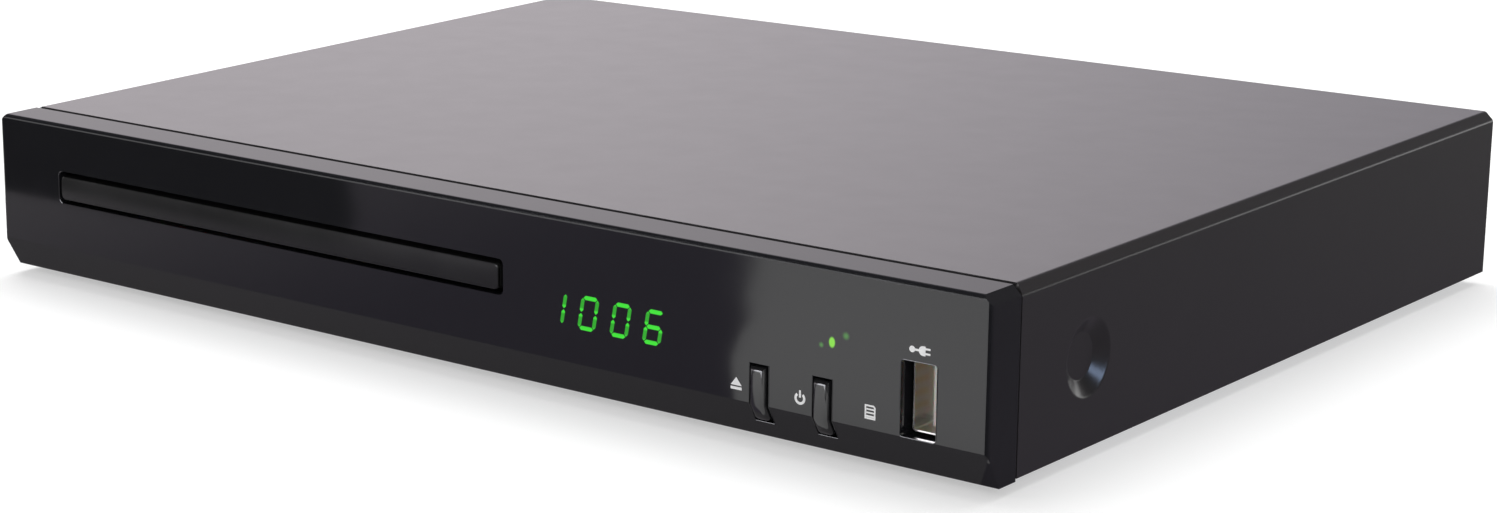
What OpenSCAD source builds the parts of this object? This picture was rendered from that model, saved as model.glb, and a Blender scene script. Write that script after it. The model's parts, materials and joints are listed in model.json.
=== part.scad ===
// Low disc player with a motor-driven tray: case, front controls, loader and boards.
// Millimetres. +X right, -Y front, +Z up. The origin is under the middle, on the resting plane.
// Inside the modules y counts from the front face towards the back, set by at_face().

/* [Case] */
// Width over the side walls
body_w = 260; // [256:1:300]
// Depth from the front face to the back of the cover
body_d = 200; // [198:1:240]
// Height from the underside of the front panel to the top
body_h = 36; // [36:0.5:48]
// How far the feet hold the front panel off the table
foot_h = 2; // [1.5:0.5:5]
// Radius of a foot
foot_r = 7; // [5:0.5:9]
// Distance from the case edge to the middle of a foot
foot_inset = 24; // [18:1:34]
// Steel sheet of the cover, the base and the back
sheet_t = 0.8; // [0.6:0.1:1]
// Chamfer along the two top side edges
edge_chamfer = 1.8; // [1.2:0.1:2.2]
// How far the steel base lies above the underside of the front panel
base_lift = 0.5; // [0.3:0.1:1]
// Height of the folded side rims of the base
rim_h = 10; // [6:0.5:12]

/* [Front panel] */
// Depth of the front panel along the sides
panel_d = 9.6; // [9:0.1:10.4]
// Wall of the front panel
panel_wall = 2.2; // [1.8:0.1:2.6]
// Height of the sloping chin under the front face
chin_h = 7.2; // [6.4:0.1:8]
// How far the chin slopes back
chin_back = 4.2; // [3:0.1:5]
// Rounding round the front face
face_round = 0.9; // [0.5:0.1:1.2]
// Visible seam between panel and cover
seam = 0.35; // [0.2:0.05:0.6]
// Length of the lip that the cover slides over
lip_l = 3; // [2:0.1:4]
// Thickness of that lip
lip_t = 1.2; // [0.8:0.1:1.6]

/* [Stamped recess] */
// Mouth radius of the stamped recess in each cover side
dimple_r = 7.5; // [5:0.1:9]
// Floor radius of the recess
dimple_floor_r = 4.5; // [3:0.1:4.8]
// Depth of the recess
dimple_h = 1.8; // [1:0.1:2.4]
// Middle of the recess behind the front face
dimple_y = 33.3; // [28:0.1:60]
// Middle of the recess above the underside of the panel
dimple_z = 17.7; // [12:0.1:20]

/* [Tray] */
// Share of the front's spare width that lies left of the tray
left_share = 0.427; // [0.4:0.0005:0.46]
// Width of the tray
tray_w = 128; // [128:0.5:132]
// Length of the tray that stays inside the case when it is out
tray_keep = 28; // [26:1:30]
// Thickness of the tray
tray_t = 5.2; // [5:0.1:5.6]
// Underside of the tray above the underside of the panel
tray_rise = 18.9; // [18.5:0.1:19.3]
// Visible gap between the tray and its slot
slot_gap = 1.1; // [0.7:0.1:1.4]
// Corner radius of the slot
slot_r = 1.2; // [0.6:0.1:2]
// How far the tray comes out
tray_travel = 130; // [110:1:130]
// Diameter of a disc
disc_d = 120; // [118:1:120]
// Play round a disc in its recess
disc_play = 1; // [0.5:0.1:1.5]
// Depth of the disc recess
recess_h = 1.8; // [1.4:0.1:2]
// Floor of the disc recess
tray_floor = 1.4; // [1.2:0.1:1.6]
// Middle of the disc behind the front face, tray shut
disc_y = 73; // [72:0.5:75]
// Width of the tray's window for turntable and lens
window_w = 35; // [33:0.5:38]
// Wall at the front of the tray and along its sides
skirt = 3.1; // [2.6:0.1:3.1]
// Rounding along the tray's edges
tray_round = 0.8; // [0.4:0.1:1]

/* [Loader] */
// Running gap round moving parts
run_gap = 0.3; // [0.2:0.05:0.4]
// Wall of the loader rails
rail_t = 2.2; // [1.8:0.1:2.6]
// Height of the loader deck's top above the base
deck_top = 12.3; // [12:0.1:12.6]
// Thickness of the deck
deck_t = 1.6; // [1.2:0.1:2]
// Depth of the deck
deck_d = 42; // [41:0.5:43]
// Length of the rails
rail_l = 160; // [156:1:160]
// Thickness of the clamp bridge
bridge_t = 1.5; // [1.2:0.1:2]
// Width of the clamp bridge
bridge_d = 30; // [28:0.5:34]
// Gear module
gear_m = 1; // [0.96:0.01:1]
// Thinning of each tooth flank
flank_gap = 0.13; // [0.11:0.01:0.16]

/* [Traverse] */
// Space between the side of the tray and the side of the traverse plate
trav_side = 15; // [15:0.5:16]
// Thickness of the traverse plate
trav_t = 1.4; // [1.2:0.1:1.6]
// Underside of the traverse plate above the base
trav_rise = 6.3; // [6.2:0.1:6.5]
// Distance from the disc's middle back to the tilt axis
tilt_back = 75; // [74:0.5:76]
// Tilt angle of the traverse, raised to lowered
tilt_deg = 3.4; // [3:0.1:3.4]
// Travel of the cam slider
cam_travel = 18; // [16:0.5:20]
// Travel of the optical pickup
sled_travel = 35; // [30:0.5:35]
// Distance from the disc's middle to the lens at its innermost place
lens_in = 23; // [22:0.5:24]
// Radius of the guide rods
rod_r = 1.5; // [1.2:0.1:1.6]
// Radial clearance of shafts and rods
shaft_gap = 0.05; // [0.03:0.01:0.08]

/* [Controls] */
// Width of a button cap
button_w = 3.4; // [2.8:0.1:3.6]
// Gap round a button cap
button_gap = 0.5; // [0.25:0.05:0.5]
// How far a cap stands out of the face
button_out = 1; // [0.6:0.1:1.4]
// Top of a cap above the underside of the panel
button_top = 14.5; // [13:0.1:16]
// Bottom of a cap above the underside of the panel
button_low = 3.8; // [3.4:0.1:5]
// Travel of a button
button_travel = 0.6; // [0.4:0.05:0.8]
// Middle of the eject button from the right side of the case
eject_side = 48.7; // [46:0.1:50]
// Middle of the power button from the right side of the case
power_side = 34.7; // [32:0.1:36]
// Height of a button's stem above the underside of the panel
stem_rise = 10.4; // [9.4:0.1:10.8]
// Middle of the status light to the right of the power button
led_shift = 1.9; // [-2:0.1:3]
// Status light above the underside of the panel
led_rise = 22; // [20:0.1:25]
// Radius of the status light
led_r = 1.25; // [0.8:0.05:1.5]
// Share of the front's spare width that lies between tray and display
middle_share = 0.191; // [0.18:0.0005:0.2]
// Middle of the display above the underside of the panel
display_rise = 17.75; // [16:0.05:19]
// Height of a digit
digit_h = 7; // [6:0.1:7.6]
// Width of a digit
digit_w = 4.4; // [3.8:0.1:4.6]
// Spacing of the digits
digit_pitch = 7.87; // [7.4:0.01:8]
// Thickness of a digit's bars
digit_bar = 0.85; // [0.6:0.05:1]
// Lean of the digits in degrees
digit_lean = 10; // [0:1:12]

/* [Data socket] */
// Middle of the data socket from the right side of the case
usb_side = 14.3; // [13:0.1:18]
// Middle of the data socket above the underside of the panel
usb_rise = 14.4; // [14:0.1:18]
// Width of its aperture
usb_hole_w = 7.6; // [6.6:0.1:7.6]
// Height of its aperture
usb_hole_h = 14.4; // [14:0.1:14.8]
// How far the metal shell lies behind the face
usb_recess = 2.8; // [2.6:0.1:3.2]
// Outer width of the metal shell
usb_w = 5.7; // [5.5:0.1:5.9]
// Outer height of the metal shell
usb_h = 13.1; // [12.8:0.1:13.3]
// Sheet of the metal shell
usb_t = 0.3; // [0.25:0.05:0.4]
// How far the tongue lies behind the shell's front edge
tongue_recess = 1.8; // [1.6:0.1:2.2]

/* [Boards] */
// Thickness of the circuit boards
board_t = 1.6; // [1.2:0.1:1.8]
// Front board behind the front face
front_board_y = 14; // [13.6:0.1:14.6]
// Height of the board posts
post_h = 5; // [4:0.5:6]
// Width of the main board
main_w = 47; // [46:0.5:48]
// Gap between the two boards
board_gap = 3; // [2:0.5:4]
// Gap between the power board and the side wall
board_side = 4.6; // [4:0.1:6]
// Inset of the board screws from the board's sides
screw_inset = 5; // [4.5:0.5:6]
// Side of the decoder chip
chip_w = 24; // [20:1:26]
// Side of the heat sink
sink_w = 28; // [26:1:30]
// Height of the heat sink
sink_h = 9; // [6:0.5:12]
// Width of the transformer
transformer_w = 26; // [22:1:26]
// Depth of the transformer
transformer_d = 22; // [20:1:24]
// Height of the transformer
transformer_h = 18; // [15:0.5:20]
// Radius of the large capacitor
bulk_r = 8; // [6:0.5:8]
// Height of the large capacitor
bulk_h = 20; // [16:0.5:22]
// Radius of the small capacitors on the power board
small_r = 4; // [3:0.5:4]
// Height of the small capacitors on the power board
small_h = 14; // [10:0.5:16]
// Spacing of the small capacitors on the power board
small_pitch = 10; // [9:0.5:11]
// Distance from the boards' back edge to the middle of the mains filter
filter_back = 34; // [32:1:36]
// Space between the mains filter's middle and the large capacitor
bulk_gap = 12; // [10:1:13]
// Space between the large capacitor's middle and the transformer
winding_gap = 19; // [17:1:20]
// Space between the transformer and the middle of the small capacitors
small_gap = 21; // [18:1:24]
// Length of the fuse with its caps
fuse_l = 18; // [16:1:19]
// Front edge of both boards behind the front face
boards_y = 22; // [20:0.5:26]

/* [Back] */
// How far the signal jacks stand out of the back
jack_out = 8; // [6:0.5:9]
// Radius of a signal jack
jack_r = 4.15; // [4:0.05:4.3]
// Spacing of the signal jacks
jack_pitch = 11; // [10.6:0.1:11]
// Depth of the mains inlet's recess
inlet_depth = 12; // [10:0.5:14]
// Spacing of the inlet's pins
inlet_pitch = 8.6; // [8.4:0.1:9]

/* [Hidden] */
$fn = 48;
eps = 0.01;
cut = 1;

// Levels and places that follow from the sizes above
panel_z = foot_h;
top_z = panel_z + body_h;
base_z = panel_z + base_lift;
floor_z = base_z + sheet_t;
roof_z = top_z - sheet_t;
back_y = body_d - 2 * sheet_t;
face_y = -(body_d + jack_out - button_out) / 2;
side_x = body_w / 2 - sheet_t;
cover_y = panel_d + seam;
tray_z = panel_z + tray_rise;
tray_top = tray_z + tray_t;
tray_floor_z = tray_top - recess_h - tray_floor;
hw = tray_w / 2;
trav_hw = hw - trav_side;
display_w = 4 * digit_pitch + 2;
front_spare = body_w - 2 * (hw + slot_gap) - display_w - (eject_side + button_w / 2 + button_gap);
tray_x = round(10 * (-body_w / 2 + left_share * front_spare + slot_gap + hw)) / 10;
display_x = round(10 * (tray_x + hw + slot_gap + middle_share * front_spare + display_w / 2)) / 10;
eject_x = body_w / 2 - eject_side;
power_x = body_w / 2 - power_side;
led_x = power_x + led_shift;
usb_x = body_w / 2 - usb_side;
tray_l = tray_travel + tray_keep;
rail_in = hw + run_gap + 0.1;
rail_out = rail_in + rail_t;
rail_y = panel_d + 2;
rail_end = rail_y + rail_l;
rail_foot = 5;
bridge_z = tray_top + 4.4;
deck_z = floor_z + deck_top - deck_t;
deck_up = floor_z + deck_top;
deck_end = rail_y + deck_d;

// Teeth: involute flanks at 20 degrees
press_deg = 20;
addendum = 0.8 * gear_m;
dedendum = 1.05 * gear_m;
tooth_pitch = PI * gear_m;
tray_teeth = 24;
drive_teeth = 12;
sled_teeth = 16;
tray_gear_r = gear_m * tray_teeth / 2;
drive_gear_r = gear_m * drive_teeth / 2;
sled_gear_r = gear_m * sled_teeth / 2;
rack_x = -(hw - skirt - 1.4 * gear_m);
tray_gear_x = rack_x + tray_gear_r;
tray_gear_y = rail_y + 12.9;
pulley_x = tray_gear_x + tray_gear_r + drive_gear_r;
motor_x = pulley_x + 34;
gear_z = deck_up + 3.6;
gear_top = tray_floor_z - run_gap;
pulley_z = deck_up + 0.5;
belt_w = 1.2;
pulley_groove = 8;
motor_groove = 2.4;
belt_gap = 0.15;
flange_t = 0.4;
pulley_h = belt_w + 2 * run_gap + 2 * flange_t;

// Traverse group
tilt_y = disc_y + tilt_back;
trav_z = floor_z + trav_rise;
trav_up = trav_z + trav_t;
tilt_z = trav_up + 1;
pin_r = 2;
cam_pin_r = 1.3;
trav_front = deck_end + 4.4;
cam_pin_z = tilt_z + 1;
cam_drop = (tilt_y - deck_end - 2.2) * sin(tilt_deg);
motor_h = 5.5;
motor_r = 12.5;
seat_z = tray_top - 1.5;
rod_x = 20;
rod_z = trav_up + 3;
lens_y = disc_y + lens_in;
sled_y0 = lens_y - 9;
sled_l = 26;
rod_tab = 1.2;
rod_play = 1.6;
sled_hw = 24;
sled_z = trav_up + 1;
sled_top = sled_z + 7;
rod_end = sled_y0 + sled_l + sled_travel + rod_tab + rod_play;
rack2_x = sled_hw + 1.4 * gear_m;
sled_gear_x = rack2_x + sled_gear_r;
sled_gear_y = disc_y + 45;
sled_gear_z = trav_up + 5;
sled_gear_h = 2.6;
pinion_deg = -55;
pinion_r = gear_m * (sled_teeth + drive_teeth) / 2;
pinion_x = sled_gear_x + pinion_r * cos(pinion_deg);
pinion_y = sled_gear_y + pinion_r * sin(pinion_deg);
post_r = 1.2;

// Clamp group
hole_r = 11;
clamp_r = 13;
clamp_z = tray_top + run_gap + 0.1;
clamp_top = bridge_z + bridge_t + run_gap;

// Boards on the right of the loader
board_z = floor_z + post_h;
board_up = board_z + board_t;
main_x = tray_x + rail_out + rail_foot + 4;
supply_x = main_x + main_w + board_gap;
supply_w = side_x - board_side - supply_x;
supply_mid = supply_x + supply_w / 2;
board_end = back_y - 0.4;
filter_y = board_end - filter_back;
bulk_y = filter_y - bulk_r - bulk_gap;
transformer_y = bulk_y - transformer_d / 2 - winding_gap;
small_y = transformer_y - transformer_d / 2 - small_gap;
screw_head_r = 2.6;
front_screws_y = boards_y + 6;
back_screws_y = board_end - 24;
fuse_end = back_screws_y - screw_head_r - 0.8;
front_board_x = main_x - 2;
front_board_w = side_x - 3 - front_board_x;
front_board_z = floor_z + 2;
front_board_h = roof_z - 3 - front_board_z;
jack_x = main_x + 7;
jack_z = board_up + 7.5;
jack_block = 5;
inlet_x = supply_mid + 1;
inlet_z = board_up + 9;
video_hw = 7.5;
video_x = jack_x + 2 * jack_pitch + jack_block + video_hw + 1.5;

module at_face() {
    translate([0, face_y, 0]) children();
}

module at_loader() {
    translate([tray_x, face_y, 0]) children();
}

// A box from its low corner to its high corner
module block(low, high) {
    translate(low) cube(high - low);
}

// Extrudes an outline drawn in x and z along y
module along_y(y0, y1) {
    translate([0, y1, 0]) rotate([90, 0, 0]) linear_extrude(y1 - y0) children();
}

module pin_z(x, y, z0, z1, r) {
    translate([x, y, z0]) cylinder(h = z1 - z0, r = r);
}

module pin_y(x, z, y0, y1, r) {
    translate([x, y0, z]) rotate([-90, 0, 0]) cylinder(h = y1 - y0, r = r);
}

module pin_x(y, z, x0, x1, r) {
    translate([x0, y, z]) rotate([0, 90, 0]) cylinder(h = x1 - x0, r = r);
}

// Rectangle with true round corners, from its low to its high corner
module round_rect(low, high, r) {
    translate([low[0] + r, low[1]]) square([high[0] - low[0] - 2 * r, high[1] - low[1]]);
    translate([low[0], low[1] + r]) square([high[0] - low[0], high[1] - low[1] - 2 * r]);
    for (x = [low[0] + r, high[0] - r], y = [low[1] + r, high[1] - r]) {
        translate([x, y]) circle(r);
    }
}

function arc(cx, cy, r, a0, a1, n = 5) = [for (i = [0:n]) let (a = a0 + (a1 - a0) * i / n)
    [cx + r * cos(a), cy + r * sin(a)]];

// Involute gear outline, a tooth at angle 0
function inv_deg(a) = tan(a) * 180 / PI - a;
function half_tooth(rho, r, n) = let (rb = r * cos(press_deg))
    90 / n - flank_gap / r * 180 / PI + inv_deg(press_deg) - inv_deg(rho > rb ? acos(rb / rho) : 0);
module gear_outline(n) {
    r = gear_m * n / 2;
    low = r - dedendum;
    base = max(low, r * cos(press_deg));
    high = r + addendum;
    radii = concat(low < base ? [low] : [], [for (i = [0:4]) base + (high - base) * i / 4]);
    last = len(radii) - 1;
    polygon([for (k = [0:n - 1], i = [0:2 * last + 1])
        let (rho = radii[i <= last ? i : 2 * last + 1 - i],
             a = 360 * k / n + (i <= last ? -1 : 1) * half_tooth(rho, r, n))
        [rho * cos(a), rho * sin(a)]]);
}

// Rack teeth that point to +x from the pitch line x = 0, gaps centred on y_gap
module rack_teeth(y0, y1, y_gap) {
    half = tooth_pitch / 4 - flank_gap;
    lean = tan(press_deg);
    first = ceil((y0 + tooth_pitch / 2 - y_gap) / tooth_pitch - 0.5);
    last = floor((y1 - tooth_pitch / 2 - y_gap) / tooth_pitch - 0.5);
    for (k = [first:last]) {
        y = y_gap + (k + 0.5) * tooth_pitch;
        polygon([[-dedendum - eps, y - half - dedendum * lean], [addendum, y - half + addendum * lean],
                 [addendum, y + half - addendum * lean], [-dedendum - eps, y + half + dedendum * lean]]);
    }
}

// ---- Case ----

// Outline of the case seen from the front, top side edges chamfered
module case_outline(inset, low) {
    x = body_w / 2 - inset;
    z = top_z - inset;
    c = edge_chamfer - inset * (2 - sqrt(2));
    polygon([[-x, low], [x, low], [x, z - c], [x - c, z], [-x + c, z], [-x, z - c]]);
}

module panel_side_outline() {
    r = face_round;
    rotate([90, 0, 90]) linear_extrude(body_w, center = true)
        polygon(concat([[panel_d, panel_z], [panel_d, top_z]], arc(r, top_z - r, r, 90, 180),
                       [[0, panel_z + chin_h], [chin_back, panel_z]]));
}

module panel_plan_outline() {
    r = face_round;
    w = body_w / 2;
    translate([0, 0, panel_z - cut]) linear_extrude(body_h + 2 * cut)
        polygon(concat([[w, panel_d + cut], [-w, panel_d + cut]], arc(-w + r, r, r, 180, 270),
                       arc(w - r, r, r, 270, 360)));
}

module panel_cavity() {
    w = panel_wall;
    x = body_w / 2 - w;
    intersection() {
        rotate([90, 0, 90]) linear_extrude(2 * x, center = true)
            polygon([[panel_d + cut, panel_z + w], [panel_d + cut, top_z - w], [w, top_z - w],
                     [w, panel_z + chin_h + w / 2], [chin_back + w / 2, panel_z + w]]);
        along_y(0, panel_d + cut) case_outline(w, panel_z + w);
    }
}

module button_hole(x) {
    half = button_w / 2 + button_gap;
    block([x - half, -cut, panel_z + button_low - button_gap],
          [x + half, panel_wall + chin_back, panel_z + button_top + button_gap]);
}

module front_panel() {
    color([0.05, 0.05, 0.055]) at_face() {
        difference() {
            intersection() {
                panel_side_outline();
                panel_plan_outline();
                along_y(-cut, panel_d + cut) case_outline(0, panel_z - cut);
            }
            panel_cavity();
            along_y(-cut, panel_wall + cut) tray_slot_outline();
            for (x = [eject_x, power_x]) {
                button_hole(x);
            }
            usb_aperture(panel_wall + cut);
            block([window_x0, -cut, window_z0], [window_x1, window_d, window_z1]);
            pin_y(led_x, panel_z + led_rise, -cut, panel_wall + cut, led_r);
        }
        usb_collar();
        cover_lip();
        light_shield();
    }
}

module tray_slot_outline() {
    round_rect([tray_x - hw - slot_gap, tray_z - slot_gap],
               [tray_x + hw + slot_gap, tray_top + slot_gap], slot_r);
}

module usb_aperture(depth) {
    along_y(-cut, depth)
        round_rect([usb_x - usb_hole_w / 2, panel_z + usb_rise - usb_hole_h / 2],
                   [usb_x + usb_hole_w / 2, panel_z + usb_rise + usb_hole_h / 2], 0.6);
}

// Frame behind the face that lines the data socket's aperture
module usb_collar() {
    difference() {
        along_y(panel_wall - eps, usb_recess + 2)
            round_rect([usb_x - usb_hole_w / 2 - 1, panel_z + usb_rise - usb_hole_h / 2 - 1],
                       [usb_x + usb_hole_w / 2 + 1, panel_z + usb_rise + usb_hole_h / 2 + 1], 0.8);
        usb_aperture(usb_recess + 2 + cut);
        block([usb_x - 9, panel_wall - 1, panel_z], [usb_x + 9, 12, panel_z + panel_wall]);
    }
}

// Lip behind the panel that carries the front edge of the cover
module cover_lip() {
    difference() {
        along_y(panel_d - panel_wall, cover_y + lip_l) case_outline(sheet_t, floor_z + rim_h + 1);
        along_y(panel_d - panel_wall - cut, cover_y + lip_l + cut)
            case_outline(sheet_t + lip_t, panel_z);
    }
}

// Tube behind the status light's hole
module light_shield() {
    z = panel_z + led_rise;
    difference() {
        pin_y(led_x, z, panel_wall - eps, 5, led_r + 1.2);
        pin_y(led_x, z, panel_wall - cut, 5 + cut, led_r);
    }
}

module top_cover() {
    color([0.16, 0.16, 0.165]) at_face() {
        difference() {
            along_y(cover_y, body_d) case_outline(0, base_z);
            along_y(cover_y - cut, body_d - sheet_t) case_outline(sheet_t, base_z - cut);
            along_y(body_d - sheet_t - cut, body_d + cut)
                polygon([[-side_x, base_z - cut], [side_x, base_z - cut],
                         [side_x, top_z - flange_h], [-side_x, top_z - flange_h]]);
            for (s = [-1, 1]) {
                dimple(s, 0, cut);
            }
            for (x = screw_xs) {
                pin_y(x, screw_z, body_d - sheet_t - cut, body_d + cut, screw_r);
            }
        }
        for (s = [-1, 1]) {
            difference() {
                dimple(s, sheet_t, 0);
                dimple(s, 0, cut);
            }
        }
    }
}

flange_h = 8;
screw_z = top_z - 4.6;
screw_r = 1.5;
screw_xs = [-body_w / 2 + 22, 0, body_w / 2 - 22];

// Stamped cone on side s, grown by the sheet for its inner skin
module dimple(s, grow, over) {
    slope = (dimple_r - dimple_floor_r) / dimple_h;
    translate([s * (body_w / 2 + over), dimple_y, panel_z + dimple_z]) rotate([0, -s * 90, 0])
        cylinder(h = dimple_h + grow + over, r1 = dimple_r + grow + slope * over,
                 r2 = dimple_floor_r + grow * (1 - slope) + (grow > 0 ? slope * 0.3 : 0));
}

module chassis_base() {
    y0 = cover_y + lip_l + 1;
    color([0.62, 0.63, 0.64]) at_face() {
        difference() {
            union() {
                block([-side_x, panel_d, base_z], [side_x, back_y, floor_z]);
                for (s = [-1, 1]) {
                    x = s * (side_x - sheet_t / 2);
                    block([x - sheet_t / 2, y0, base_z], [x + sheet_t / 2, back_y, floor_z + rim_h]);
                }
                block([-side_x, back_y - sheet_t, base_z], [-supply_x, back_y, floor_z + rim_h]);
                block([-supply_x + 20, back_y - sheet_t, base_z], [main_x - 8, back_y, floor_z + rim_h]);
                for (p = board_posts) {
                    pin_z(p[0], p[1], base_z, board_z, 3);
                }
            }
            for (p = board_posts) {
                pin_z(p[0], p[1], base_z - cut, board_z + cut, post_bore);
            }
            for (i = [0:floor((supply_w - 5) / vent_pitch) - 1]) {
                x = supply_x + 4 + i * vent_pitch;
                block([x, 70, base_z - cut], [x + 2, 92, floor_z + cut]);
            }
            for (s = [-1, 1]) {
                translate([s * side_x, 0, 0])
                    pin_x(dimple_y, panel_z + dimple_z, -2, 2, dimple_r + sheet_t + rim_play);
            }
        }
    }
}

// Play between a rim's notch and the stamped recess
rim_play = 0.5;
post_bore = 1.2;
board_posts = [for (b = [[main_x, main_w], [supply_x, supply_w]], y = [front_screws_y, back_screws_y],
    x = [b[0] + screw_inset, b[0] + b[1] - screw_inset]) [x, y]];
vent_pitch = 4.6;

module rear_panel() {
    color([0.2, 0.2, 0.205]) at_face() {
        difference() {
            along_y(back_y, back_y + sheet_t) case_outline(sheet_t, base_z);
            for (i = [0:2]) {
                pin_y(jack_x + i * jack_pitch, jack_z, back_y - cut, body_d, jack_r + 0.3);
            }
            block([video_x - video_hw - 0.3, back_y - cut, board_up],
                  [video_x + video_hw + 0.3, body_d, board_up + 6.4]);
            inlet_body(back_y - cut, body_d, 0);
            for (x = screw_xs) {
                pin_y(x, screw_z, back_y - cut, body_d, screw_r);
            }
            for (i = [0:13]) {
                x = -body_w / 2 + 24 + i * 5;
                block([x, back_y - cut, floor_z + 12], [x + 2, body_d, floor_z + 24]);
            }
        }
    }
}

module feet() {
    color([0.04, 0.04, 0.04]) {
        for (x = [-1, 1], y = [face_y + foot_inset, face_y + body_d - foot_inset]) {
            translate([x * (body_w / 2 - foot_inset), y, 0]) {
                cylinder(h = 0.6, r1 = foot_r - 0.6, r2 = foot_r);
                translate([0, 0, 0.6]) cylinder(h = base_z - 0.6, r = foot_r);
            }
        }
    }
}

module cover_screws() {
    color([0.08, 0.08, 0.08]) at_face() {
        for (x = screw_xs) {
            difference() {
                union() {
                    pin_y(x, screw_z, body_d - 5, body_d, screw_r - 0.05);
                    pin_y(x, screw_z, body_d, body_d + 1.6, 2.8);
                }
                for (a = [0, 90]) {
                    translate([x, body_d + 1, screw_z]) rotate([0, a, 0])
                        block([-1.6, 0, -0.25], [1.6, 2, 0.25]);
                }
            }
        }
    }
}

// ---- Front controls ----

window_d = 1.2;
window_x0 = display_x - display_w / 2;
window_x1 = display_x + display_w / 2;
window_z0 = panel_z + display_rise - digit_h / 2 - 1.5;
window_z1 = panel_z + display_rise + digit_h / 2 + 1.5;

// Lit bars of each digit: top, upper right, lower right, bottom, lower left, upper left, middle
digit_bars = [[1, 2], [0, 1, 2, 3, 4, 5], [0, 1, 2, 3, 4, 5], [0, 2, 3, 4, 5, 6]];

function lean(p) = [p[0] + p[1] * tan(digit_lean), p[1]];

// One pointed bar from a to b, shortened at its ends
module digit_segment(a, b) {
    t = digit_bar / 2;
    d = (b - a) / norm(b - a);
    n = [-d[1], d[0]];
    g = 0.12;
    p = a + d * g;
    q = b - d * g;
    polygon([for (v = [p, p + (d + n) * t, q + (n - d) * t, q, q - (d + n) * t, p + (d - n) * t]) lean(v)]);
}

module digit(bars) {
    x = (digit_w - digit_bar) / 2;
    z = (digit_h - digit_bar) / 2;
    ends = [[[-x, z], [x, z]], [[x, z], [x, 0]], [[x, 0], [x, -z]], [[-x, -z], [x, -z]],
            [[-x, 0], [-x, -z]], [[-x, z], [-x, 0]], [[-x, 0], [x, 0]]];
    for (i = bars) {
        digit_segment(ends[i][0], ends[i][1]);
    }
}

module digits_solid(y0, y1) {
    for (i = [0:3]) {
        translate([display_x + (i - 1.5) * digit_pitch, 0, panel_z + display_rise])
            along_y(y0, y1) digit(digit_bars[i]);
    }
}

module display_window() {
    color([0.05, 0.05, 0.055]) at_face() difference() {
        block([window_x0, 0, window_z0], [window_x1, window_d, window_z1]);
        digits_solid(-cut, window_d + cut);
    }
}

module display_digits() {
    color([0.3, 0.95, 0.25]) at_face() digits_solid(0, window_d);
}

module display_module() {
    color([0.1, 0.1, 0.1]) at_face() {
        block([window_x0, panel_wall, window_z0 + 0.5], [window_x1, front_board_y, window_z1 - 0.5]);
    }
}

module led_lens() {
    color([0.45, 0.9, 0.2]) at_face() pin_y(led_x, panel_z + led_rise, 0, 5.2, led_r);
}

module status_led() {
    z = panel_z + led_rise;
    color([0.5, 0.8, 0.4]) at_face() {
        pin_y(led_x, z, 5.2, 10, 1.5);
        pin_y(led_x, z, 10, 11, 1.9);
        for (s = [-1, 1]) {
            block([led_x + s * 0.8 - 0.25, 11, z - 0.25], [led_x + s * 0.8 + 0.25, front_board_y, z + 0.25]);
        }
    }
}

module ir_receiver() {
    x = (led_x + usb_x) / 2;
    z = panel_z + led_rise;
    color([0.06, 0.04, 0.05]) at_face() {
        block([x - 3.5, panel_wall + 3, z - 4], [x + 3.5, front_board_y, z + 4]);
        translate([x, panel_wall + 3, z]) sphere(2.6);
    }
}

// Button cap that follows the face and the chin, its edges bevelled
module button_cap(x) {
    t = button_out;
    z0 = panel_z + button_low;
    z1 = panel_z + button_top;
    zc = panel_z + chin_h;
    slope = chin_back / chin_h;
    e = 0.4;
    inner = panel_wall + 0.4;
    front = [[-t + e, z1], [-t, z1 - e], [-t, zc], [-t + (zc - z0) * slope, z0]];
    intersection() {
        rotate([90, 0, 90]) translate([0, 0, x - button_w / 2]) linear_extrude(button_w)
            polygon(concat(front, [[inner + 1.5, z0], [inner + 1.5, z1]]));
        union() {
            hw2 = button_w / 2;
            translate([0, 0, z0 - cut]) linear_extrude(z1 - z0 + 2 * cut)
                polygon([[x - hw2, inner + 3], [x - hw2, -t + e], [x - hw2 + e, -t], [x + hw2 - e, -t],
                         [x + hw2, -t + e], [x + hw2, inner + 3]]);
        }
    }
    stem_z = panel_z + stem_rise;
    block([x - 1.4, inner + 1.4, stem_z - 1.8], [x + 1.4, switch_y - button_travel - 0.05, stem_z + 1.8]);
    block([x - button_w / 2 - 1, panel_wall + button_gap, stem_z - 1.8],
          [x + button_w / 2 + 1, inner + 1.5, stem_z + 1.8]);
}

switch_y = front_board_y - 5;

module tact_switch(x) {
    z = panel_z + stem_rise;
    block([x - 3, front_board_y - 3.5, z - 3], [x + 3, front_board_y, z + 3]);
    pin_y(x, z, switch_y, front_board_y - 3.5 + eps, 1.6);
}

module eject_button() {
    color([0.07, 0.07, 0.075]) at_face() button_cap(eject_x);
}

module power_button() {
    color([0.07, 0.07, 0.075]) at_face() button_cap(power_x);
}

module eject_switch() {
    color([0.25, 0.25, 0.26]) at_face() tact_switch(eject_x);
}

module power_switch() {
    color([0.25, 0.25, 0.26]) at_face() tact_switch(power_x);
}

module front_board() {
    color([0.1, 0.3, 0.12]) at_face() difference() {
        block([front_board_x, front_board_y, front_board_z],
              [front_board_x + front_board_w, front_board_y + board_t, front_board_z + front_board_h]);
        for (x = [front_board_x + 5, usb_x - 12]) {
            pin_y(x, front_board_z + front_board_h - 3.5, front_board_y - cut, front_board_y + 3, 1.2);
        }
    }
}

module usb_outline(grow) {
    z = panel_z + usb_rise;
    round_rect([usb_x - usb_w / 2 - grow, z - usb_h / 2 - grow],
               [usb_x + usb_w / 2 + grow, z + usb_h / 2 + grow], 0.6 + grow);
}

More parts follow.
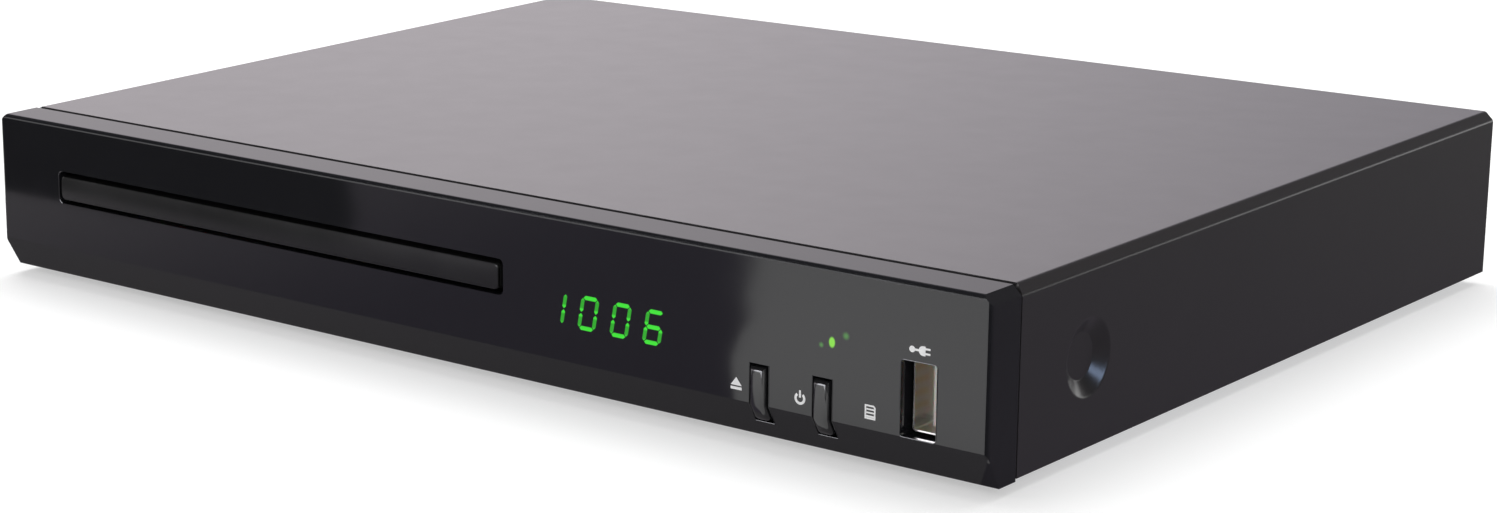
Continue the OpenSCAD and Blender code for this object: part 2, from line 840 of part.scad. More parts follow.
module usb_shell() {
    color([0.8, 0.8, 0.8]) at_face() difference() {
        along_y(usb_recess, front_board_y) usb_outline(0);
        along_y(usb_recess - cut, front_board_y - 1) usb_outline(-usb_t);
    }
}

tongue_t = 1.84;
tongue_h = 11.1;
tongue_x = usb_x + usb_w / 2 - usb_t - 0.45 - tongue_t;

module usb_tongue() {
    z = panel_z + usb_rise;
    y0 = usb_recess + tongue_recess;
    color([0.9, 0.88, 0.85]) at_face() {
        block([tongue_x, y0, z - tongue_h / 2], [tongue_x + tongue_t, front_board_y - 2, z + tongue_h / 2]);
        along_y(front_board_y - 2, front_board_y - 1) usb_outline(-usb_t);
    }
}

module usb_contacts() {
    z = panel_z + usb_rise;
    y0 = usb_recess + tongue_recess + 1;
    color([0.85, 0.7, 0.35]) at_face() {
        for (i = [-1.5:1:1.5]) {
            block([tongue_x - 0.15, y0, z + i * 2.4 - 0.5], [tongue_x, y0 + 5.5, z + i * 2.4 + 0.5]);
        }
    }
}

// ---- Tray and loader ----

module disc_tray() {
    r = disc_d / 2 + disc_play;
    win = window_w / 2;
    color([0.12, 0.12, 0.12]) at_loader() {
        difference() {
            union() {
                difference() {
                    along_y(0, tray_l) round_rect([-hw, tray_z], [hw, tray_top], tray_round);
                    block([-hw + skirt, skirt, tray_z - cut], [hw - skirt, tray_l + cut, tray_floor_z]);
                }
                translate([rack_x, 0, tray_z]) linear_extrude(tray_floor_z - tray_z)
                    rack_teeth(skirt + 1, tray_l, tray_gear_y);
            }
            pin_z(0, disc_y, tray_top - recess_h, tray_top + cut, r);
            pin_z(0, disc_y, tray_z, tray_top + cut, win);
            block([-win, disc_y, tray_z], [win, tray_l + cut, tray_top + cut]);
            for (s = [-1, 1]) {
                pin_z(s * (r - 6), disc_y - 26, tray_top - recess_h - 0.5, tray_top + cut, 12);
            }
        }
    }
}

// Rail outline: wall, ledge under the tray, guide over it and foot on the base
module rail_outline() {
    ledge = tray_z - run_gap;
    guide = tray_top + run_gap;
    polygon([[rail_in, floor_z], [rail_out + rail_foot, floor_z], [rail_out + rail_foot, floor_z + 2],
             [rail_out, floor_z + 2], [rail_out, bridge_z], [rail_in, bridge_z],
             [rail_in, guide + 1.2], [rail_in - 2.5, guide + 1.2], [rail_in - 2.5, guide],
             [rail_in, guide], [rail_in, ledge], [rail_in - 3, ledge], [rail_in - 3, ledge - 2],
             [rail_in, ledge - 2]]);
}

block_in = trav_hw + 2;

module loader_rail(s) {
    at_loader() mirror([s < 0 ? 1 : 0, 0, 0]) difference() {
        union() {
            along_y(rail_y, rail_end) rail_outline();
            block([block_in, tilt_y - 6, floor_z], [rail_in + eps, tilt_y + 6, tilt_z + 6]);
        }
        pin_x(tilt_y, tilt_z, block_in - cut, rail_in, bush_r);
        pin_z(rail_out + rail_foot - 2.4, rail_y + 20, floor_z - cut, floor_z + 3, 1.2);
        pin_z(rail_out + rail_foot - 2.4, rail_end - 20, floor_z - cut, floor_z + 3, 1.2);
    }
}

bush_r = 4;
bush_end = rail_in;

module loader_rail_left() {
    color([0.2, 0.2, 0.21]) loader_rail(-1);
}

module loader_rail_right() {
    color([0.2, 0.2, 0.21]) loader_rail(1);
}

module pivot_bushes() {
    color([0.25, 0.12, 0.1]) at_loader() {
        for (s = [-1, 1]) {
            mirror([s < 0 ? 1 : 0, 0, 0]) difference() {
                pin_x(tilt_y, tilt_z, block_in, bush_end, bush_r);
                pin_x(tilt_y, tilt_z, block_in - cut, bush_end + cut, pin_r + shaft_gap);
            }
        }
    }
}

guide_x = 20;
guide_y = deck_end - 6;

module loader_deck() {
    color([0.22, 0.22, 0.23]) at_loader() difference() {
        union() {
            block([-rail_in, rail_y, deck_z], [rail_in, deck_end, deck_up]);
            pin_z(tray_gear_x, tray_gear_y, deck_z, gear_top - 0.6, 2);
            pin_z(pulley_x, tray_gear_y, deck_z, gear_top - 0.6, 1.5);
            for (s = [-1, 1]) {
                pin_z(s * guide_x, guide_y, deck_z, deck_up + 3, 1.4);
                block([s * 56 - 5, rail_y + 2, floor_z], [s * 56 + 5, rail_y + 10, deck_z + eps]);
            }
        }
        pin_z(motor_x, tray_gear_y, deck_z - cut, deck_up + cut, 3);
    }
}

module loader_rear_bar() {
    color([0.22, 0.22, 0.23]) at_loader() {
        block([-rail_in, rail_end - 8, floor_z], [rail_in, rail_end, floor_z + 6]);
    }
}

module clamp_bridge() {
    y0 = disc_y - bridge_d / 2;
    color([0.7, 0.7, 0.7]) at_loader() difference() {
        block([-rail_out, y0, bridge_z], [rail_out, y0 + bridge_d, bridge_z + bridge_t]);
        pin_z(0, disc_y, bridge_z - cut, bridge_z + bridge_t + cut, hole_r);
    }
}

module clamper() {
    neck = hole_r - 1;
    color([0.85, 0.85, 0.83]) at_loader() translate([0, disc_y, 0]) rotate_extrude()
        polygon([[8, clamp_z], [clamp_r, clamp_z], [clamp_r, bridge_z - 1.2], [neck, bridge_z - 1.2],
                 [neck, clamp_top], [clamp_r, clamp_top], [clamp_r, clamp_top + 1.2],
                 [0, clamp_top + 1.2], [0, clamp_z + 3], [8, clamp_z + 3]]);
}

module clamp_magnet() {
    color([0.35, 0.35, 0.36]) at_loader()
        pin_z(0, disc_y, clamp_top + 1.2, clamp_top + 2.4, 9);
}

module traverse_plate() {
    color([0.68, 0.69, 0.7]) at_loader() difference() {
        union() {
            block([-trav_hw, trav_front, trav_z], [trav_hw, tilt_y + 6, trav_up]);
            for (s = [-1, 1]) {
                mirror([s < 0 ? 1 : 0, 0, 0]) {
                    block([trav_hw - 3, tilt_y - 4, trav_up - eps], [trav_hw, tilt_y + 4, tilt_z + 3]);
                    pin_x(tilt_y, tilt_z, trav_hw - 1, bush_end - 2, pin_r);
                    for (y = [sled_y0 - rod_play, rod_end]) {
                        block([rod_x - 3, y - rod_tab, trav_up - eps], [rod_x + 2, y, rod_z + rod_r + 0.3]);
                    }
                }
            }
            block([-5, trav_front, trav_up - eps], [5, trav_front + 1.4, cam_pin_z + 2.4]);
            pin_y(0, cam_pin_z, deck_end + 0.6, trav_front + eps, cam_pin_r);
            pin_z(sled_gear_x, sled_gear_y, trav_up - eps, sled_gear_z + sled_gear_h - 0.2, post_r);
        }
        for (s = [-1, 1]) {
            pin_y(s * rod_x, rod_z, sled_y0 - 4, rod_end + cut, rod_r);
        }
    }
}

module spindle_motor() {
    color([0.75, 0.75, 0.76]) at_loader() difference() {
        pin_z(0, disc_y, trav_up, trav_up + motor_h, motor_r);
        pin_z(0, disc_y, trav_up + 1, trav_up + motor_h + cut, 1 + shaft_gap);
    }
}

module turntable() {
    shaft_end = trav_up + 1.2;
    hub_z = trav_up + motor_h + run_gap;
    color([0.15, 0.15, 0.15]) at_loader() translate([0, disc_y, 0]) rotate_extrude()
        polygon([[0, shaft_end], [1, shaft_end], [1, hub_z], [5, hub_z], [5, seat_z - 2],
                 [14.5, seat_z - 2], [14.5, seat_z], [7.4, seat_z], [7.4, seat_z + 1.2],
                 [5, seat_z + 2.8], [0, seat_z + 2.8]]);
}

module guide_rods() {
    color([0.8, 0.8, 0.82]) at_loader() {
        for (s = [-1, 1]) {
            pin_y(s * rod_x, rod_z, sled_y0 - rod_play - rod_tab, rod_end, rod_r);
        }
    }
}

module pickup_body() {
    color([0.55, 0.55, 0.57]) at_loader() {
        difference() {
            union() {
                block([-sled_hw, sled_y0, sled_z], [sled_hw, sled_y0 + sled_l, sled_top]);
                block([sled_hw - 1.4, rack2_y0, sled_gear_z], [rack_back, rack2_y1, sled_gear_z + 2.4]);
                translate([rack2_x, 0, sled_gear_z]) linear_extrude(2.4)
                    rack_teeth(rack2_y0 + 0.2, rack2_y1 - 0.2, sled_gear_y);
            }
            for (s = [-1, 1]) {
                pin_y(s * rod_x, rod_z, sled_y0 - cut, sled_y0 + sled_l + cut, rod_r + shaft_gap);
            }
        }
    }
}

rack_back = rack2_x - dedendum;
rack2_y0 = sled_gear_y - sled_travel - 4;
rack2_y1 = sled_gear_y + 4;

module pickup_lens() {
    color([0.12, 0.12, 0.13]) at_loader() {
        block([-6, lens_y - 6, sled_top], [6, lens_y + 6, sled_top + 2.6]);
        translate([0, lens_y, sled_top + 2.6]) rotate_extrude()
            polygon([[0, 0], [2.6, 0], [2.6, 0.5], [2.1, 0.5], [1.5, 1], [0, 1.2]]);
    }
}

module sled_motor() {
    color([0.75, 0.75, 0.76]) at_loader() difference() {
        pin_z(pinion_x, pinion_y, trav_up, sled_gear_z - run_gap, 7);
        pin_z(pinion_x, pinion_y, trav_up + 1, sled_gear_z + cut, 0.8 + shaft_gap);
    }
}

module sled_pinion() {
    turn = 180 + pinion_deg + pinion_deg * sled_teeth / drive_teeth + 180 / drive_teeth;
    color([0.9, 0.88, 0.8]) at_loader() {
        translate([pinion_x, pinion_y, sled_gear_z]) rotate([0, 0, turn])
            linear_extrude(sled_gear_h) gear_outline(drive_teeth);
        pin_z(pinion_x, pinion_y, trav_up + 1.2, sled_gear_z + eps, 0.8);
    }
}

module sled_gear() {
    color([0.92, 0.9, 0.82]) at_loader() translate([sled_gear_x, sled_gear_y, 0]) difference() {
        union() {
            translate([0, 0, sled_gear_z]) linear_extrude(sled_gear_h) gear_outline(sled_teeth);
            translate([0, 0, trav_up + run_gap])
                cylinder(h = sled_gear_z - trav_up - run_gap + eps, r = 3);
        }
        translate([0, 0, trav_up]) cylinder(h = sled_gear_h + 8, r = post_r + shaft_gap);
    }
}

module loading_motor() {
    color([0.75, 0.75, 0.76]) at_loader() difference() {
        pin_z(motor_x, tray_gear_y, floor_z + 0.3, deck_z, 10);
        pin_z(motor_x, tray_gear_y, floor_z + 3, deck_z + cut, 0.8 + shaft_gap);
    }
}

// Grooved pulley outline from radius 'bore' out
module pulley(groove, bore) {
    f = flange_t;
    rim = groove + 1.8;
    rotate_extrude() polygon([[bore, 0], [rim, 0], [rim, f], [groove, f], [groove, pulley_h - f],
                              [rim, pulley_h - f], [rim, pulley_h], [bore, pulley_h]]);
}

module motor_pulley() {
    color([0.8, 0.7, 0.4]) at_loader() translate([motor_x, tray_gear_y, 0]) {
        translate([0, 0, pulley_z]) pulley(motor_groove, 0);
        translate([0, 0, floor_z + 3.3]) cylinder(h = pulley_z - floor_z - 3.3 + eps, r = 0.8);
    }
}

module belt_loop(grow) {
    hull() {
        translate([pulley_x, tray_gear_y]) circle(pulley_groove + belt_gap + grow);
        translate([motor_x, tray_gear_y]) circle(motor_groove + belt_gap + grow);
    }
}

module drive_belt() {
    color([0.04, 0.04, 0.04]) at_loader() translate([0, 0, pulley_z + flange_t + run_gap])
        linear_extrude(belt_w) difference() {
            belt_loop(belt_w);
            belt_loop(0);
        }
}

module pulley_gear() {
    low = pulley_z + pulley_h;
    color([0.9, 0.9, 0.88]) at_loader() translate([pulley_x, tray_gear_y, 0]) difference() {
        union() {
            translate([0, 0, pulley_z]) pulley(pulley_groove, 1);
            translate([0, 0, low - eps]) cylinder(h = gear_z - low + 2 * eps, r = 4);
            translate([0, 0, gear_z]) rotate([0, 0, 180 + 180 / drive_teeth])
                linear_extrude(gear_top - gear_z) gear_outline(drive_teeth);
        }
        translate([0, 0, pulley_z - cut]) cylinder(h = 20, r = 1.5 + shaft_gap);
    }
}

module tray_gear() {
    color([0.92, 0.92, 0.9]) at_loader() translate([tray_gear_x, tray_gear_y, 0]) difference() {
        union() {
            translate([0, 0, gear_z]) linear_extrude(gear_top - gear_z) gear_outline(tray_teeth);
            translate([0, 0, deck_up + run_gap]) cylinder(h = gear_z - deck_up - run_gap + eps, r = 5);
        }
        translate([0, 0, deck_up]) cylinder(h = 20, r = 2 + shaft_gap);
    }
}

cam_hw = 32;
cam_slot_r = cam_pin_r + 0.2;

module cam_slider() {
    z = deck_up + run_gap;
    slope = atan2(cam_drop, cam_travel);
    run = norm([cam_drop, cam_travel]);
    color([0.85, 0.85, 0.82]) at_loader() difference() {
        union() {
            block([-cam_hw, guide_y - 3, z], [cam_hw, deck_end + 3.2, z + 1.5]);
            block([-cam_hw, deck_end + 1.2, floor_z + 0.8], [cam_hw, deck_end + 3.2, z + 1.5]);
        }
        along_y(deck_end, deck_end + 4) {
            translate([0, cam_pin_z]) circle(cam_slot_r);
            translate([-cam_travel, cam_pin_z - cam_drop]) circle(cam_slot_r);
            translate([0, cam_pin_z]) rotate(180 + slope) translate([0, -cam_slot_r])
                square([run, 2 * cam_slot_r]);
        }
        for (s = [-1, 1]) {
            translate([0, 0, z - cut]) linear_extrude(4)
                round_rect([s * guide_x - cam_travel - 2, guide_y - 1.7],
                           [s * guide_x + 2, guide_y + 1.7], 1.6);
        }
    }
}

// ---- Boards ----

module board_holes(x0, w) {
    for (x = [x0 + screw_inset, x0 + w - screw_inset], y = [front_screws_y, back_screws_y]) {
        pin_z(x, y, board_z - cut, board_up + cut, 1.6);
    }
}

module main_board() {
    color([0.1, 0.32, 0.13]) at_face() difference() {
        block([main_x, boards_y, board_z], [main_x + main_w, board_end, board_up]);
        board_holes(main_x, main_w);
    }
}

module power_board() {
    color([0.72, 0.62, 0.38]) at_face() difference() {
        block([supply_x, boards_y, board_z], [supply_x + supply_w, board_end, board_up]);
        board_holes(supply_x, supply_w);
    }
}

chip_x = main_x + main_w / 2;
chip_y = boards_y + 72;
chip_t = 1.6;

module decoder_chip() {
    color([0.08, 0.08, 0.08]) at_face()
        block([chip_x - chip_w / 2, chip_y - chip_w / 2, board_up],
              [chip_x + chip_w / 2, chip_y + chip_w / 2, board_up + chip_t]);
}

module heat_sink() {
    z = board_up + chip_t;
    half = sink_w / 2;
    fin = 1;
    color([0.7, 0.7, 0.72]) at_face() {
        block([chip_x - half, chip_y - half, z], [chip_x + half, chip_y + half, z + 1.6]);
        for (i = [0:6]) {
            x = chip_x - half + i * (sink_w - fin) / 6;
            block([x, chip_y - half, z + 1.5], [x + fin, chip_y + half, z + sink_h]);
        }
    }
}

module board_chips() {
    color([0.07, 0.07, 0.07]) at_face() {
        block([chip_x - 5, chip_y + 20, board_up], [chip_x + 5, chip_y + 42, board_up + 1.2]);
        block([chip_x + 8, chip_y - 36, board_up], [chip_x + 18, chip_y - 22, board_up + 1.6]);
        block([chip_x - 16, chip_y - 40, board_up], [chip_x - 4, chip_y - 26, board_up + 1.6]);
        block([chip_x - 14, boards_y + 1, board_up], [chip_x + 6, boards_y + 6, board_up + 5]);
    }
}

module board_capacitors() {
    color([0.1, 0.12, 0.2]) at_face() {
        for (p = [[-18, -16, 3], [-18, 24, 3], [18, 22, 2.5], [18, 30, 2.5], [-12, 52, 4], [12, 52, 3]]) {
            pin_z(chip_x + p[0], chip_y + p[1], board_up, board_up + 3 + 2 * p[2], p[2]);
        }
    }
}

// Winding in a wrapped core with a steel strap over it
module transformer() {
    x = supply_mid;
    y = transformer_y;
    half = transformer_w / 2;
    strap = 3;
    color([0.75, 0.6, 0.2]) at_face() {
        block([x - half, y - transformer_d / 2, board_up], [x + half, y + transformer_d / 2, board_up + 4]);
        block([x - half + strap, y - transformer_d / 2 + 2, board_up + 4],
              [x + half - strap, y + transformer_d / 2 - 2, board_up + transformer_h - 2]);
        for (s = [-1, 1]) {
            block([x + s * (half - strap / 2) - strap / 2, y - 5, board_up + 4],
                  [x + s * (half - strap / 2) + strap / 2, y + 5, board_up + transformer_h]);
        }
        block([x - half, y - 5, board_up + transformer_h - 2], [x + half, y + 5, board_up + transformer_h]);
    }
}

module supply_capacitors() {
    count = floor((supply_w - 4 - 2 * small_r) / small_pitch) + 1;
    color([0.1, 0.1, 0.3]) at_face() {
        pin_z(supply_mid - 6, bulk_y, board_up, board_up + bulk_h, bulk_r);
        for (i = [0:count - 1]) {
            pin_z(supply_mid + (i - (count - 1) / 2) * small_pitch, small_y, board_up, board_up + small_h,
                  small_r);
        }
    }
}

// Suppressor box and, beside it, a fuse in two clips
module mains_filter() {
    y = filter_y;
    fuse_x = supply_x + supply_w - 8;
    fuse_r = 2.6;
    color([0.75, 0.75, 0.3]) at_face() {
        block([supply_x + 4, y - 4, board_up], [supply_x + 17, y + 4, board_up + 10]);
        pin_y(fuse_x, board_up + 3, fuse_end - fuse_l, fuse_end, fuse_r);
        for (clip_y = [fuse_end - fuse_l, fuse_end - 2]) {
            block([fuse_x - fuse_r + 0.1, clip_y, board_up],
                [fuse_x + fuse_r - 0.1, clip_y + 2, board_up + 1]);
        }
    }
}

// Outline of the inlet's body in the rear panel
module inlet_body(y0, y1, grow) {
    block([inlet_x - 11 - grow, y0, inlet_z - 8 - grow], [inlet_x + 11 + grow, y1, inlet_z + 8 + grow]);
}

module mains_inlet() {
    y0 = body_d + 1.2 - inlet_depth - 2;
    color([0.06, 0.06, 0.06]) at_face() {
        difference() {
            union() {
                inlet_body(y0, body_d - sheet_t, 0);
                inlet_body(body_d - sheet_t, body_d + 1.2, 1.5);
                block([inlet_x - 8, y0, board_up], [inlet_x + 8, y0 + 6, inlet_z]);
            }
            along_y(y0 + 2, body_d + 1.2 + cut) translate([inlet_x, inlet_z]) {
                for (s = [-1, 1]) {
                    translate([s * inlet_pitch / 2 - s * 0.6, 0]) circle(4.3);
                }
                square([inlet_pitch - 1.2, 7], center = true);
            }
        }
        for (s = [-1, 1]) {
            pin_y(inlet_x + s * inlet_pitch / 2, inlet_z, y0 + 1.9, body_d - 2, 1.2);
        }
    }
}

module phono_jacks() {
    color([0.1, 0.1, 0.1]) at_face() {
        for (i = [0:2]) {
            x = jack_x + i * jack_pitch;
            difference() {
                union() {
                    block([x - jack_block, back_y - 9, board_up],
                          [x + jack_block, back_y, jack_z + jack_block]);
                    pin_y(x, jack_z, back_y - eps, body_d + jack_out, jack_r);
                }
                pin_y(x, jack_z, body_d - 2, body_d + jack_out + cut, jack_r - 0.5);
            }
        }
    }
}

module phono_inserts() {
    color([0.9, 0.8, 0.1]) at_face() {
        for (i = [0:2]) {
            difference() {
                pin_y(jack_x + i * jack_pitch, jack_z, body_d - 2, body_d + jack_out - 0.6, jack_r - 0.5);
                pin_y(jack_x + i * jack_pitch, jack_z, body_d + 1, body_d + jack_out + cut, 1.6);
            }
        }
    }
}

module video_socket() {
    z = board_up;
    color([0.8, 0.8, 0.8]) at_face() {
        difference() {
            block([video_x - video_hw, back_y - 10, z], [video_x + video_hw, body_d + 0.6, z + 6]);
            block([video_x - video_hw + 0.5, back_y - 8, z + 0.8],
                  [video_x + video_hw - 0.5, body_d + 2, z + 5.4]);
        }
        block([video_x - video_hw + 1.5, back_y - 8.1, z + 2.4],
              [video_x + video_hw - 1.5, body_d - 1, z + 3.4]);
    }
}

// Flat cable from the front board down to the base and back up to the main board
module front_ribbon() {
    x = chip_x - 12;
    y0 = front_board_y + board_t;
    y1 = boards_y + 1;
    z = board_up + 5;
    color([0.9, 0.9, 0.88]) at_face() {
        block([x, y0, z + 3], [x + 16, y1 + 4.3, z + 3.3]);
        block([x, y1 + 4, z], [x + 16, y1 + 4.3, z + 3.3]);
        block([x, y0, z - 3], [x + 16, y0 + 0.3, z + 3.3]);
    }
}

module board_screws() {
    color([0.75, 0.75, 0.75]) at_face() {
        for (p = board_posts) {
            pin_z(p[0], p[1], board_up, board_up + 1.8, screw_head_r);
            pin_z(p[0], p[1], floor_z + 0.3, board_up + eps, post_bore);
        }
    }
}

front_panel();
display_window();
display_digits();
display_module();
led_lens();
status_led();
ir_receiver();
eject_button();
power_button();
eject_switch();
power_switch();
front_board();
usb_shell();
usb_tongue();
usb_contacts();
top_cover();
chassis_base();
rear_panel();
feet();
cover_screws();
disc_tray();
loader_rail_left();
loader_rail_right();
loader_deck();
loader_rear_bar();
clamp_bridge();
clamper();
clamp_magnet();
traverse_plate();
pivot_bushes();
spindle_motor();
turntable();
guide_rods();
pickup_body();
pickup_lens();
sled_motor();
sled_pinion();
sled_gear();
loading_motor();
motor_pulley();
drive_belt();
pulley_gear();
tray_gear();
cam_slider();
main_board();
decoder_chip();
heat_sink();
board_chips();
board_capacitors();
power_board();
transformer();
supply_capacitors();
mains_filter();
mains_inlet();
phono_jacks();
phono_inserts();
video_socket();
front_ribbon();
board_screws();
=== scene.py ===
# Looks of the disc player with tray: camera, studio light, finishes and fine pieces.
# Metres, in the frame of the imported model. +X right, -Y front, +Z up.
import json
import math

import bmesh
import bpy
from mathutils import Matrix, Vector


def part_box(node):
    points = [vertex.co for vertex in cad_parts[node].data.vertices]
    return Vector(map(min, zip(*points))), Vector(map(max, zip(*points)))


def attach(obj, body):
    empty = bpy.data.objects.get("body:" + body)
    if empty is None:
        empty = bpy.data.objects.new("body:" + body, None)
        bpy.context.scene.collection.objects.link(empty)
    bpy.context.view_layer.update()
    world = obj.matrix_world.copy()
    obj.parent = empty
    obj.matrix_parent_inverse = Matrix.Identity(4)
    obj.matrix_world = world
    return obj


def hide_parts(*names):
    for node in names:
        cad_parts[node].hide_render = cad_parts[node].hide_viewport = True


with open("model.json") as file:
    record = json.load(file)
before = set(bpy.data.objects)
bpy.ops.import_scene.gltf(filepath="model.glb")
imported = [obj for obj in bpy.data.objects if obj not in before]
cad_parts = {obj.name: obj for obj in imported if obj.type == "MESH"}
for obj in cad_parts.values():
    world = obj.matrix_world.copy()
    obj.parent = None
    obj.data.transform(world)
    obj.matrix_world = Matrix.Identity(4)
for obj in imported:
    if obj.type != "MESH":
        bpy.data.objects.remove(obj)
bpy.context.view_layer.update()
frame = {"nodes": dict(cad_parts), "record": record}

MM = 0.001
PANEL_LOW, PANEL_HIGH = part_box("front_panel")
TRAY_LOW, TRAY_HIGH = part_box("disc_tray")
COVER_LOW, COVER_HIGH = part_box("top_cover")
FACE_Y = PANEL_LOW.y
PANEL_Z = PANEL_LOW.z

# The chin under the face, as the panel has it
CHIN_H = 7.2 * MM
CHIN_BACK = 4.2 * MM


# ---- Camera ----

# Width of the photo, focal length and optical axis in its pixels, and the sensor in mm
FRAME_W = 1497
FOCAL_PX = 3204.3
AXIS_PX = 260.0
SENSOR = 36.0
AZIMUTH = math.radians(44.70)
ELEVATION = math.radians(14.05)
ROLL = math.radians(1.46)
# The eye from the middle of the face's lower edge
EYE_FROM_FACE = Vector((0.41622, -0.4688, 0.18026))
NEAREST = 0.01
FARTHEST = 50


def make_camera():
    """The camera solved from the case's corners in the photo."""
    forward = Vector((-math.sin(AZIMUTH) * math.cos(ELEVATION),
                      math.cos(AZIMUTH) * math.cos(ELEVATION), -math.sin(ELEVATION)))
    level = Vector((math.cos(AZIMUTH), math.sin(AZIMUTH), 0))
    down = forward.cross(level)
    right = math.cos(ROLL) * level + math.sin(ROLL) * down
    up = math.sin(ROLL) * level - math.cos(ROLL) * down
    data = bpy.data.cameras.new("camera")
    data.sensor_width = SENSOR
    data.lens = SENSOR * FOCAL_PX / FRAME_W
    data.shift_x = (FRAME_W / 2 - AXIS_PX) / FRAME_W
    data.clip_start = NEAREST
    data.clip_end = FARTHEST
    camera = bpy.data.objects.new("camera", data)
    bpy.context.scene.collection.objects.link(camera)
    eye = EYE_FROM_FACE + Vector((0, FACE_Y, PANEL_Z))
    turn = Matrix((right, up, -forward)).transposed()
    camera.matrix_world = Matrix.Translation(eye) @ turn.to_4x4()
    bpy.context.scene.camera = camera


# ---- Studio ----

# Strength of the world as a light; what sees it directly sees white
AMBIENT = 0.5
# The floor's own tone, and what is added where it is seen directly
FLOOR_TONE = 0.58
FLOOR_LIFT = 0.45
FLOOR_HALF = 4


def new_material(name):
    """A material whose shader is the principled one."""
    material = bpy.data.materials.new(name)
    material.use_nodes = True
    return material


def seen_directly(tree):
    """A socket that is 1 for camera, glossy and transmission rays and 0 for the others."""
    path = tree.nodes.new("ShaderNodeLightPath")
    first = tree.nodes.new("ShaderNodeMath")
    first.operation = "MAXIMUM"
    second = tree.nodes.new("ShaderNodeMath")
    second.operation = "MAXIMUM"
    tree.links.new(path.outputs["Is Camera Ray"], first.inputs[0])
    tree.links.new(path.outputs["Is Glossy Ray"], first.inputs[1])
    tree.links.new(first.outputs[0], second.inputs[0])
    tree.links.new(path.outputs["Is Transmission Ray"], second.inputs[1])
    return second.outputs[0]


def make_world():
    """Even light from all round."""
    world = bpy.data.worlds.new("studio")
    bpy.context.scene.world = world
    world.use_nodes = True
    tree = world.node_tree
    background = tree.nodes["Background"]
    background.inputs["Color"].default_value = (1, 1, 1, 1)
    level = tree.nodes.new("ShaderNodeMapRange")
    level.inputs["To Min"].default_value = AMBIENT
    level.inputs["To Max"].default_value = 1.0
    tree.links.new(seen_directly(tree), level.inputs["Value"])
    tree.links.new(level.outputs["Result"], background.inputs["Strength"])


def make_floor():
    """A plain pale floor that keeps the object's shadow."""
    bm = bmesh.new()
    bmesh.ops.create_grid(bm, x_segments=1, y_segments=1, size=FLOOR_HALF)
    mesh = bpy.data.meshes.new("floor")
    bm.to_mesh(mesh)
    bm.free()
    floor = bpy.data.objects.new("floor", mesh)
    bpy.context.scene.collection.objects.link(floor)
    material = new_material("floor_paper")
    tree = material.node_tree
    shader = tree.nodes["Principled BSDF"]
    shader.inputs["Base Color"].default_value = (FLOOR_TONE, FLOOR_TONE, FLOOR_TONE, 1)
    shader.inputs["Roughness"].default_value = 0.9
    shader.inputs["Specular IOR Level"].default_value = 0.1
    shader.inputs["Emission Color"].default_value = (1, 1, 1, 1)
    lift = tree.nodes.new("ShaderNodeMapRange")
    lift.inputs["To Max"].default_value = FLOOR_LIFT
    tree.links.new(seen_directly(tree), lift.inputs["Value"])
    tree.links.new(lift.outputs["Result"], shader.inputs["Emission Strength"])
    mesh.materials.append(material)


def area_lamp(name, place, size, power):
    """A soft lamp aimed at the origin; no reflection shows it, so that no pose mirrors it."""
    data = bpy.data.lights.new(name, "AREA")
    data.shape = "RECTANGLE"
    data.size, data.size_y = size
    data.energy = power
    lamp = bpy.data.objects.new(name, data)
    lamp.visible_glossy = False
    lamp.location = place
    lamp.rotation_euler = (-Vector(place)).to_track_quat("-Z", "Y").to_euler()
    bpy.context.scene.collection.objects.link(lamp)


def split_place(tree, kind):
    """The x, y and z of a shaded point, as 'Object' or 'Generated' coordinates."""
    place = tree.nodes.new("ShaderNodeTexCoord")
    split = tree.nodes.new("ShaderNodeSeparateXYZ")
    tree.links.new(place.outputs[kind], split.inputs["Vector"])
    return split.outputs


def add_fade(tree, value, span, levels):
    """A value turned smoothly from the first level to the second over a span."""
    fade = tree.nodes.new("ShaderNodeMapRange")
    fade.interpolation_type = "SMOOTHSTEP"
    fade.inputs["From Min"].default_value, fade.inputs["From Max"].default_value = span
    fade.inputs["To Min"].default_value, fade.inputs["To Max"].default_value = levels
    tree.links.new(value, fade.inputs["Value"])
    return fade.outputs["Result"]


def studio_card(name, corners, tone, far_tone=None, axis="X", span=(0, 1)):
    """A card that only reflections see: a flag if dark, a reflector if pale.

    With far_tone it shades from tone to far_tone along an axis, over 'span' of its length.
    """
    bm = bmesh.new()
    bm.faces.new([bm.verts.new(c) for c in corners])
    mesh = bpy.data.meshes.new(name)
    bm.to_mesh(mesh)
    bm.free()
    card = bpy.data.objects.new(name, mesh)
    bpy.context.scene.collection.objects.link(card)
    material = new_material(name)
    shader = material.node_tree.nodes["Principled BSDF"]
    shader.inputs["Base Color"].default_value = (0, 0, 0, 1)
    shader.inputs["Specular IOR Level"].default_value = 0
    shader.inputs["Emission Color"].default_value = (*tone, 1)
    shader.inputs["Emission Strength"].default_value = 1
    if far_tone:
        tree = material.node_tree
        along = add_fade(tree, split_place(tree, "Generated")[axis], span, (0, 1))
        shade = mix_colours(tree, along, tone, far_tone)
        tree.links.new(shade, shader.inputs["Emission Color"])
    mesh.materials.append(material)
    card.visible_camera = False
    card.visible_diffuse = False
    card.visible_shadow = False
    card.visible_transmission = False


def make_studio():
    """World, floor, three lamps, and the cards that the glossy faces mirror."""
    bpy.context.scene.view_settings.view_transform = "Standard"
    make_world()
    make_floor()
    area_lamp("overhead", (-0.3, 0.35, 1.3), (1.6, 1.2), 20.0)
    area_lamp("front", (-0.9, -1.2, 0.8), (0.8, 0.6), 2.5)
    area_lamp("right", (1.0, -0.9, 0.5), (0.4, 0.4), 3.0)
    make_floor_flags()
    make_front_cards()
    make_side_and_back_cards()


BLACK = (0.02, 0.02, 0.02)
